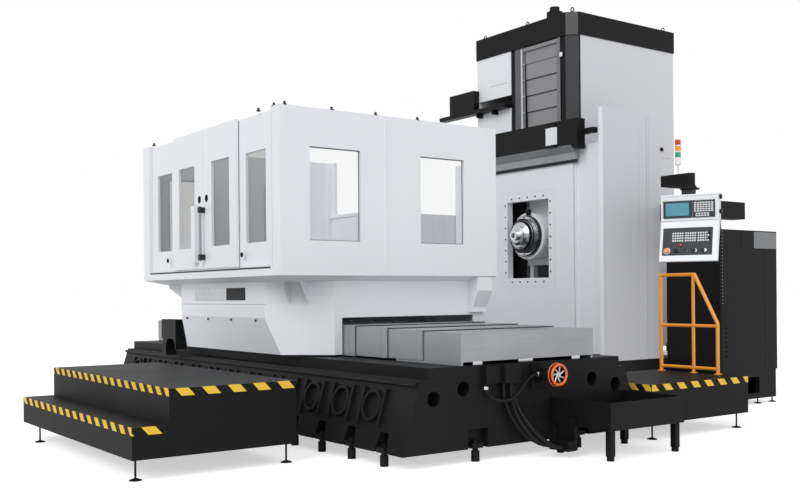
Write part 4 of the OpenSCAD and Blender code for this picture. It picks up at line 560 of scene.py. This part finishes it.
def rounded(piece, edge, frame):
    if edge:
        modifier = piece.modifiers.new("edges", "BEVEL")
        modifier.width = edge
        modifier.segments = 2
        modifier.limit_method = "ANGLE"
        bpy.ops.object.modifier_apply(modifier="edges")
    piece.data.transform(frame)
    return piece


def block(low, high, edge=everyEdge, frame=layoutFrame):
    middle = [(a + b) / 2 for a, b in zip(low, high)]
    span = [b - a for a, b in zip(low, high)]
    bpy.ops.mesh.primitive_cube_add(size=1, location=middle, scale=span)
    bpy.ops.object.transform_apply(location=True, rotation=True, scale=True)
    return rounded(bpy.context.object, min(edge, min(span) * 0.3), frame)


def rod(start, end, radius, edge=2, frame=layoutFrame, sides=28):
    way = Vector(end) - Vector(start)
    bpy.ops.mesh.primitive_cone_add(vertices=sides, radius1=radius, radius2=radius, depth=way.length,
                                    location=(Vector(start) + Vector(end)) / 2,
                                    rotation=way.to_track_quat("Z", "Y").to_euler())
    bpy.ops.object.transform_apply(location=True, rotation=True, scale=True)
    bpy.ops.object.shade_smooth_by_angle(angle=math.radians(35))
    return rounded(bpy.context.object, min(edge, radius * 0.3, way.length * 0.3), frame)


def ring(centre, axis, radius, thickness):
    turn = Vector(axis).to_track_quat("Z", "Y").to_euler()
    bpy.ops.mesh.primitive_torus_add(location=centre, rotation=turn, major_radius=radius,
                                     minor_radius=thickness, major_segments=40, minor_segments=12)
    bpy.ops.object.transform_apply(location=True, rotation=True, scale=True)
    bpy.ops.object.shade_smooth()
    return rounded(bpy.context.object, 0, layoutFrame)


def joined(name, parts, finish, body):
    bpy.ops.object.select_all(action="DESELECT")
    for part in parts:
        part.select_set(True)
    bpy.context.view_layer.objects.active = parts[0]
    if len(parts) > 1:
        bpy.ops.object.join()
    piece = bpy.context.object
    piece.name = name
    piece.data.materials.clear()
    piece.data.materials.append(finishes[finish])
    bpy.ops.object.transform_apply(location=True, rotation=True, scale=True)
    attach(piece, body)


finishes = {
    "black": finishMaterial("trimBlack", colors["black"], gloss=0.35, cloud=0.3),
    "dark": finishMaterial("trimDark", (0.05, 0.052, 0.056), gloss=0.45, cloud=0.2),
    "grey": finishMaterial("trimGrey", (0.2, 0.205, 0.21), gloss=0.4, cloud=0.1),
    "silver": finishMaterial("trimSilver", colors["silver"], gloss=0.3, metal=0.8, grain=(60.0, 60.0, 2.0)),
    "chrome": finishMaterial("trimChrome", colors["chrome"], gloss=0.14, metal=1.0, cloud=0.02),
    "white": finishMaterial("trimWhite", colors["white"], gloss=0.35, cloud=0.02),
    "orange": finishMaterial("trimOrange", (0.8, 0.16, 0.02), gloss=0.3, cloud=0.05),
    "red": finishMaterial("trimRed", (0.5, 0.02, 0.02), gloss=0.3, cloud=0.05),
    "screen": finishMaterial("screenGlow", (0.1, 0.33, 0.42), gloss=0.12, cloud=0.5),
    "key": finishMaterial("keyPale", (0.7, 0.71, 0.72), gloss=0.4, cloud=0.05),
}


def addHose(name, node, points, diameter):
    bpy.ops.curve.primitive_bezier_curve_add()
    piece = bpy.context.object
    piece.name = name
    curve = piece.data
    curve.splines.clear()
    spline = curve.splines.new("POLY")
    spline.points.add(len(points) - 1)
    places = [at(*p) for p in points]
    for point, place in zip(spline.points, places):
        point.co = (*place, 1)
    curve.dimensions = "3D"
    curve.bevel_depth = diameter / 2000
    curve.bevel_resolution = 5
    curve.use_fill_caps = True
    curve.materials.append(hoseRubber)
    length = sum((b - a).length for a, b in zip(places, places[1:]))
    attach(piece, "base")
    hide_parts(node)
    tuple(places[0])


# the part's own routes: all leave the terminal box, the loop ends at the feed motor and the other
# three at the service box's manifold
hoses = {
    "hose_loop": {"thickness": 30, "route": (
        (3495, -585, 668), (3495, -585, 654), (3498, -576, 613), (3507, -553, 579), (3522, -517, 553),
        (3542, -473, 537), (3568, -425, 532), (3575, -352, 545), (3577, -292, 576), (3575, -240, 619),
        (3572, -190, 665), (3567, -138, 707), (3562, -78, 738), (3559, -5, 750), (3559, 10, 750),
    )},
    "hose_a": {"thickness": 36, "route": (
        (3490, -375, 668), (3490, -375, 644), (3494, -369, 556), (3507, -351, 473), (3525, -323, 395),
        (3546, -286, 325), (3570, -242, 262), (3594, -191, 208), (3615, -136, 165), (3633, -78, 132),
        (3646, -18, 112), (3650, 42, 105), (3650, 60, 105),
    )},
    "hose_b": {"thickness": 36, "route": (
        (3530, -320, 668), (3530, -320, 644), (3535, -315, 549), (3550, -302, 461), (3571, -280, 382),
        (3597, -250, 312), (3625, -214, 251), (3653, -172, 200), (3679, -124, 159), (3700, -72, 129),
        (3715, -17, 111), (3720, 42, 105), (3720, 60, 105),
    )},
    "hose_c": {"thickness": 36, "route": (
        (3490, -265, 668), (3490, -265, 644), (3498, -262, 571), (3521, -251, 496), (3555, -235, 422),
        (3596, -212, 351), (3640, -183, 284), (3684, -148, 226), (3725, -108, 176), (3759, -63, 138),
        (3782, -13, 114), (3790, 42, 105), (3790, 60, 105),
    )},
}
for node, s in hoses.items():
    addHose(node + "_rubber", node, s["route"], s["thickness"])
print("hoses placed")

skirtPlate = {"low": (-654, -1507, 1447), "high": (631, -1498, 1581), "split": 179, "gap": 1}


def addSkirtPlate(s):
    x, y, z = s["split"], s["high"][1], s["high"][2]
    joined("skirtPlateSilver", [block(s["low"], (x, y, z))], "silver", "table_slide")
    dark = block((x + s["gap"], s["low"][1], s["low"][2]), s["high"])
    joined("skirtPlateBlack", [dark], "black", "table_slide")


addSkirtPlate(skirtPlate)

skirtBolts = {"xs": (-886, -301, 284, 870), "y": (-1498, -1512), "z": 1233, "radius": 14}
s = skirtBolts
joined("skirtBolts", [rod((x, s["y"][0], s["z"]), (x, s["y"][1], s["z"]), s["radius"], sides=6)
                      for x in s["xs"]], "dark", "table_slide")

liftPins = {
    "spots": ((1750, -1626), (1750, -1089), (1750, -555), (1750, -15), (1624, -1674), (1300, -1674),
              (-1451, -1674)),
    "pin": {"z": (3346, 3386), "radius": 13, "edge": 5},
    "collar": {"z": (3350, 3360), "radius": 23, "edge": 2},
}
pinParts = [rod((x, y, p["z"][0]), (x, y, p["z"][1]), p["radius"], edge=p["edge"])
            for p in (liftPins["pin"], liftPins["collar"]) for x, y in liftPins["spots"]]
joined("liftPins", pinParts, "dark", "table_slide")

doorLock = {
    "left_door": -987,
    "right_door": 955,
    "face": -1693,
    "z": 1919,
    "button": {"out": (1, 13), "radius": 26, "edge": 5},
    "core": {"out": (12, 18), "radius": 12, "edge": 2},
}


def addDoorLock(body, s):
    x, face, z = s[body], s["face"], s["z"]
    parts = [rod((x, face - r["out"][0], z), (x, face - r["out"][1], z), r["radius"], edge=r["edge"])
             for r in (s["button"], s["core"])]
    joined(body + "Lock", parts, "black", body)


for body in ("left_door", "right_door"):
    addDoorLock(body, doorLock)

hoodBolts = {"x": (1578, 1597), "radius": 12, "spots": ((-780, 1222), (-513, 1212), (-211, 1202), (96, 1190))}
s = hoodBolts
joined("hoodBolts", [rod((s["x"][0], y, z), (s["x"][1], y, z), s["radius"], sides=12) for y, z in s["spots"]],
       "dark", "table_slide")

sideWindows = {"x": 1727, "spans": ((-1358, -756), (10, 612)), "foot": 2038, "head": 2968, "width": 9,
               "depth": 9}


def addWindowSeal(name, span, s):
    (low, high), foot, head, width = span, s["foot"], s["head"], s["width"]
    bars = ((low, low + width, foot, head), (high - width, high, foot, head), (low, high, foot, foot + width),
            (low, high, head - width, head))
    parts = [block((s["x"], a, z0), (s["x"] + s["depth"], b, z1), edge=2) for a, b, z0, z1 in bars]
    joined(name, parts, "grey", "table_slide")


for number, span in enumerate(sideWindows["spans"], 1):
    addWindowSeal("sideSeal%d" % number, span, sideWindows)

sideRib = {"low": (1764, -455, 1700), "high": (1769, -437, 3345)}
s = sideRib
joined("sideRib", [block(s["low"], s["high"], edge=2)], "white", "table_slide")
print("table side trimmed")

# y runs into the wall, so bolts go from the larger y to the smaller
spindleTrim = {
    "axis": (0, 2296),
    "bolts": ({"count": 12, "circle": 258, "y": (3162, 3139), "radius": 9},
              {"count": 12, "circle": 199, "y": (3116, 3096), "radius": 7}),
    "ring": {"y": 3102, "radius": 235, "thickness": 7},
}


def boltCircle(axis, b):
    for i in range(b["count"]):
        angle = math.tau * i / b["count"]
        x, z = axis[0] + b["circle"] * math.cos(angle), axis[1] + b["circle"] * math.sin(angle)
        yield rod((x, b["y"][0], z), (x, b["y"][1], z), b["radius"], sides=16)


def addSpindleTrim(s):
    bolts = [bolt for b in s["bolts"] for bolt in boltCircle(s["axis"], b)]
    joined("flangeBolts", bolts, "dark", "spindle")
    r = s["ring"]
    gap = ring((s["axis"][0], r["y"], s["axis"][1]), (0, 1, 0), r["radius"], r["thickness"])
    joined("flangeRing", [gap], "black", "spindle")


addSpindleTrim(spindleTrim)

coolantNozzle = {"low": (16, 3160, 2584), "high": (74, 3222, 2668), "edge": 10,
                 "from": (45, 3172, 2590), "to": (45, 3148, 2560), "radius": 11}
s = coolantNozzle
joined("coolantBlock", [block(s["low"], s["high"], edge=s["edge"]),
                        rod(s["from"], s["to"], s["radius"], edge=3)], "black", "head")

windowScrews = {"sideX": (-455, 455), "sideZ": range(1790, 2800, 160), "rowX": range(-320, 400, 160),
                "rowZ": (1655, 2838), "y": (3214, 3202), "radius": 11}
s = windowScrews
screwSpots = [(x, z) for x in s["sideX"] for z in s["sideZ"]] + [(x, z) for x in s["rowX"] for z in s["rowZ"]]
joined("frameScrews", [rod((x, s["y"][0], z), (x, s["y"][1], z), s["radius"], sides=12)
                       for x, z in screwSpots], "dark", "head")
print("spindle trimmed")

towerEyes = {
    "spots": {"eyeNear": (560, 3560), "eyeMiddle": (-330, 3560), "eyeFar": (-1270, 3560),
              "eyeRear": (560, 5460)},
    "collarZ": (5352, 5372),
    "ringZ": 5398,
    "radius": 26,
    "wire": 8,
}


def addTowerEye(name, x, y, s):
    collar = rod((x, y, s["collarZ"][0]), (x, y, s["collarZ"][1]), s["radius"], edge=4)
    eye = ring((x, y, s["ringZ"]), (0, 1, 0), s["radius"], s["wire"])
    joined(name, [collar, eye], "dark", "column_slide")


for name, (x, y) in towerEyes["spots"].items():
    addTowerEye(name, x, y, towerEyes)

towerKnob = {"from": (639, 5303, 3595), "to": (664, 5303, 3595), "radius": 30, "edge": 8}
s = towerKnob
joined("towerKnob", [rod(s["from"], s["to"], s["radius"], edge=s["edge"])], "black", "column_slide")

towerLatch = {"low": (410, 3452, 4761), "high": (458, 3471, 4821), "edge": 8}
s = towerLatch
joined("towerLatch", [block(s["low"], s["high"], edge=s["edge"])], "white", "column_slide")

slatRail = {"low": (-385, 3466, 3800), "high": (-352, 3477, 5028), "edge": 3}
s = slatRail
joined("slatRail", [block(s["low"], s["high"], edge=s["edge"])], "silver", "column_slide")

slatPins = {"x": -328, "y": (3476, 3466), "foot": 3873, "pitch": 232, "count": 5, "radius": 8}
s = slatPins
pinHeights = [s["foot"] + s["pitch"] * i for i in range(s["count"])]
joined("slatPins", [rod((s["x"], s["y"][0], z), (s["x"], s["y"][1], z), s["radius"], edge=2, sides=12)
                    for z in pinHeights], "white", "column_slide")
print("tower trimmed")

cabinetVents = {"x": (2333, 2337), "y": 4412, "z": range(1341, 2290, 44), "radius": 9}
s = cabinetVents
joined("cabinetVents", [rod((s["x"][0], s["y"], z), (s["x"][1], s["y"], z), s["radius"], edge=1, sides=12)
                        for z in s["z"]], "grey", "base")

cabinetPlate = {"low": (2335, 5086, 2061), "high": (2340, 5580, 2280)}
s = cabinetPlate
joined("cabinetPlate", [block(s["low"], s["high"], edge=2)], "grey", "base")

ductGlands = {"x": (2183, 2215), "y": 3960, "z": (2500, 2600), "radius": 22}
s = ductGlands
joined("ductGlands", [rod((s["x"][0], s["y"], z), (s["x"][1], s["y"], z), s["radius"], sides=6)
                      for z in s["z"]], "white", "base")

# blades run from the hub at root to tip, twisted between the two
motorFan = {
    "centre": (3670, 90, 750),
    "blades": 7,
    "root": {"out": 46, "radius": 24},
    "tip": {"out": 52, "radius": 76},
    "twist": 0.5,
    "blade": {"radius": 9, "edge": 3},
    "hub": {"out": (40, 60), "radius": 27, "edge": 6},
    "rings": ({"out": 62, "radius": 91, "thickness": 13}, {"out": 30, "radius": 104, "thickness": 6}),
}


def addMotorFan(s):
    x, y, z = s["centre"]

    def onFan(end, angle):
        return x + end["out"], y + end["radius"] * math.cos(angle), z + end["radius"] * math.sin(angle)

    turns = [math.tau * i / s["blades"] for i in range(s["blades"])]
    b, h = s["blade"], s["hub"]
    blades = [rod(onFan(s["root"], a), onFan(s["tip"], a + s["twist"]), b["radius"], edge=b["edge"], sides=10)
              for a in turns]
    hub = rod((x + h["out"][0], y, z), (x + h["out"][1], y, z), h["radius"], edge=h["edge"])
    joined("fanBlades", blades + [hub], "silver", "base")
    rings = [ring((x + r["out"], y, z), (1, 0, 0), r["radius"], r["thickness"]) for r in s["rings"]]
    joined("fanRing", rings, "orange", "base")


addMotorFan(motorFan)

# one at each end of the looped hose
hoseNuts = {
    "radius": 23,
    "box": ((3495, -585, 668), (3495, -585, 640)),
    "motor": ((3559, -22, 750), (3559, 12, 750)),
}
s = hoseNuts
joined("hoseNuts", [rod(a, b, s["radius"], sides=6) for a, b in (s["box"], s["motor"])], "chrome", "base")
print("near side trimmed")

# the pendant's own frame turns about its post; keysFrame lies in the sloping key panel
pendantSettings = {
    "post": (2710, 3290, 0),
    "turn": 25,  # degrees
    "left": 2425,
    "front": 3070,
    "foot": 1850,
    "keyLean": 115,
    "keyRise": 470,
    "screenFoot": 2360,
    "screenHead": 2554,
    "panelSplit": (30, 360, 366, 618),
    "glass": {"right": 56, "up": 22, "span": 270, "height": 150},
    "rims": {"right": -4, "span": 668, "height": 8, "up": (2328, 2612)},
    "caps": {"x": (3090, 3112), "y": 3120, "z": (2590, 2420), "radius": 30, "edge": 8},
}
p = pendantSettings
pendantPost = Vector(p["post"])
pendantFrame = (layoutFrame @ Matrix.Translation(pendantPost)
                @ Matrix.Rotation(math.radians(p["turn"]), 4, "Z") @ Matrix.Translation(-pendantPost))
keysFrame = (pendantFrame @ Matrix.Translation((p["left"], p["front"] - p["keyLean"], p["foot"]))
             @ Matrix.Rotation(math.pi / 2 - math.atan2(p["keyLean"], p["keyRise"]), 4, "X"))


def onPendant(name, parts, finish):
    joined(name, parts, finish, "control_pendant")


def faceBlock(right, up, span, height, out, back, edge):
    # a block on the upright face, right of its left edge: out is how far it stands before the face,
    # back how far behind, and up is its height over the floor
    x, y = p["left"] + right, p["front"]
    return block((x, y - out, up), (x + span, y + back, up + height), frame=pendantFrame, edge=edge)


def addScreen():
    a, b, c, d = p["panelSplit"]
    foot, height = p["screenFoot"] - 2, p["screenHead"] - p["screenFoot"] + 2
    onPendant("screenHousing", [faceBlock(a, foot, b - a, height, 10, 4, 6),
                                faceBlock(c, foot, d - c, height, 8, 4, 6)], "dark")
    g = p["glass"]
    glass = faceBlock(g["right"], p["screenFoot"] + g["up"], g["span"], g["height"], 14, -6, 3)
    onPendant("screenGlass", [glass], "screen")


softKeys = {"width": 25, "height": 17, "pitchX": 32, "pitchZ": 24,
            "upper": {"right": (384, 590), "up": (62, 164)}, "lower": {"right": (400, 560), "up": (8, 56)}}


def addSoftKeys(s):
    keys = [faceBlock(right, p["screenFoot"] + up, s["width"], s["height"], 14, -4, 2)
            for field in (s["upper"], s["lower"])
            for up in range(*field["up"], s["pitchZ"]) for right in range(*field["right"], s["pitchX"])]
    onPendant("softKeys", keys, "key")


panelKeys = {"starts": (140, 285, 430), "columns": 5, "rows": 4, "pitch": (27, 30), "size": (20, 19),
             "foot": 236}


def addPanelKeys(s):
    keys = []
    for start in s["starts"]:
        for i in range(s["columns"]):
            for j in range(s["rows"]):
                x, y = start + s["pitch"][0] * i, s["foot"] + s["pitch"][1] * j
                far = (x + s["size"][0], y + s["size"][1], 5)
                keys.append(block((x, y, -4), far, frame=keysFrame, edge=2))
    onPendant("panelKeys", keys, "key")


# places and sizes on the key panel, counted from its lower left corner
keyPlate = {"low": (32, 72, -7), "high": (598, 402, -1)}
tallKnobs = {"spots": ((300, 125), (400, 125), (500, 125)), "height": 24, "radius": 19, "edge": 4}
shortKnobs = {"spots": ((560, 330), (560, 270)), "height": 18, "radius": 15, "edge": 4}
redKnob = {"spots": ((245, 190),), "height": 20, "radius": 15, "edge": 5}


def keyKnobs(s):
    return [rod((x, y, -3), (x, y, s["height"]), s["radius"], frame=keysFrame, edge=s["edge"])
            for x, y in s["spots"]]


def addShellTrim(caps, rims):
    y = caps["y"]
    ends = [rod((caps["x"][0], y, z), (caps["x"][1], y, z), caps["radius"], frame=pendantFrame,
                edge=caps["edge"]) for z in caps["z"]]
    onPendant("endCaps", ends, "black")
    lips = [faceBlock(rims["right"], up, rims["span"], rims["height"], 14, 6, 3) for up in rims["up"]]
    onPendant("shellRims", lips, "white")


addScreen()
addSoftKeys(softKeys)
onPendant("keyPlate", [block(keyPlate["low"], keyPlate["high"], frame=keysFrame, edge=3)], "dark")
addPanelKeys(panelKeys)
onPendant("smallKnobs", keyKnobs(tallKnobs) + keyKnobs(shortKnobs), "black")
onPendant("redKnob", keyKnobs(redKnob), "red")
addShellTrim(p["caps"], p["rims"])
print("pendant trimmed")

lightSettings = {
    "world": {"color": (0.97, 0.98, 1.0, 1), "strength": 0.56, "inGloss": 0.6},
    "keySun": {"from": (0.35, -1.0, 0.75), "strength": 1.3, "angle": 40},
    "sideSun": {"from": (1.0, -0.12, 0.35), "strength": 0.62, "angle": 50},
    # size and z in metres
    "floor": {"size": 160, "z": -0.001, "color": (0.93, 0.93, 0.93, 1), "rough": 0.9, "glow": 0.55},
}


def addWorld(s):
    # lights the object softly, and shows as white behind it, in metal and through glass
    world = bpy.data.worlds.new("studioWorld")
    scene.world = world
    world.use_nodes = True
    tree = world.node_tree
    lit = tree.nodes["Background"]
    lit.inputs["Color"].default_value = s["color"]
    lit.inputs["Strength"].default_value = s["strength"]
    seen = tree.nodes.new("ShaderNodeBackground")
    seen.inputs["Color"].default_value = (1, 1, 1, 1)
    seen.inputs["Strength"].default_value = 1.0
    path = tree.nodes.new("ShaderNodeLightPath")
    inGloss = mathNode(tree, "MULTIPLY", path.outputs["Is Glossy Ray"], s["inGloss"])
    shown = mathNode(tree, "MAXIMUM", path.outputs["Is Camera Ray"],
                     mathNode(tree, "MAXIMUM", inGloss, path.outputs["Is Transmission Ray"]))
    mixed = tree.nodes.new("ShaderNodeMixShader")
    tree.links.new(shown, mixed.inputs[0])
    tree.links.new(lit.outputs[0], mixed.inputs[1])
    tree.links.new(seen.outputs[0], mixed.inputs[2])
    tree.links.new(mixed.outputs[0], tree.nodes["World Output"].inputs[0])


def addSun(name, s):
    bpy.ops.object.light_add(type="SUN", location=(0, 0, 12))
    sun = bpy.context.object
    sun.name = name
    sun.data.energy = s["strength"]
    sun.data.angle = math.radians(s["angle"])
    sun.rotation_euler = Vector(s["from"]).to_track_quat("Z", "Y").to_euler()


def addFloor(s):
    bpy.ops.object.select_all(action="DESELECT")
    bpy.ops.mesh.primitive_plane_add(size=s["size"], location=(0, 0, s["z"]))
    floor = bpy.context.object
    floor.name = "studioFloor"
    material, tree, shader, place = newMaterial("paleFloor")
    shader.inputs["Base Color"].default_value = s["color"]
    shader.inputs["Roughness"].default_value = s["rough"]
    glow = tree.nodes.new("ShaderNodeEmission")
    glow.inputs["Color"].default_value = (1, 1, 1, 1)
    path = tree.nodes.new("ShaderNodeLightPath")
    lift = mathNode(tree, "MULTIPLY", path.outputs["Is Camera Ray"], s["glow"])
    tree.links.new(lift, glow.inputs["Strength"])
    summed = tree.nodes.new("ShaderNodeAddShader")
    tree.links.new(shader.outputs[0], summed.inputs[0])
    tree.links.new(glow.outputs[0], summed.inputs[1])
    tree.links.new(summed.outputs[0], tree.nodes["Material Output"].inputs[0])
    floor.data.materials.append(material)


addWorld(lightSettings["world"])
addSun("keySun", lightSettings["keySun"])
addSun("sideSun", lightSettings["sideSun"])
addFloor(lightSettings["floor"])
print("stage ready")
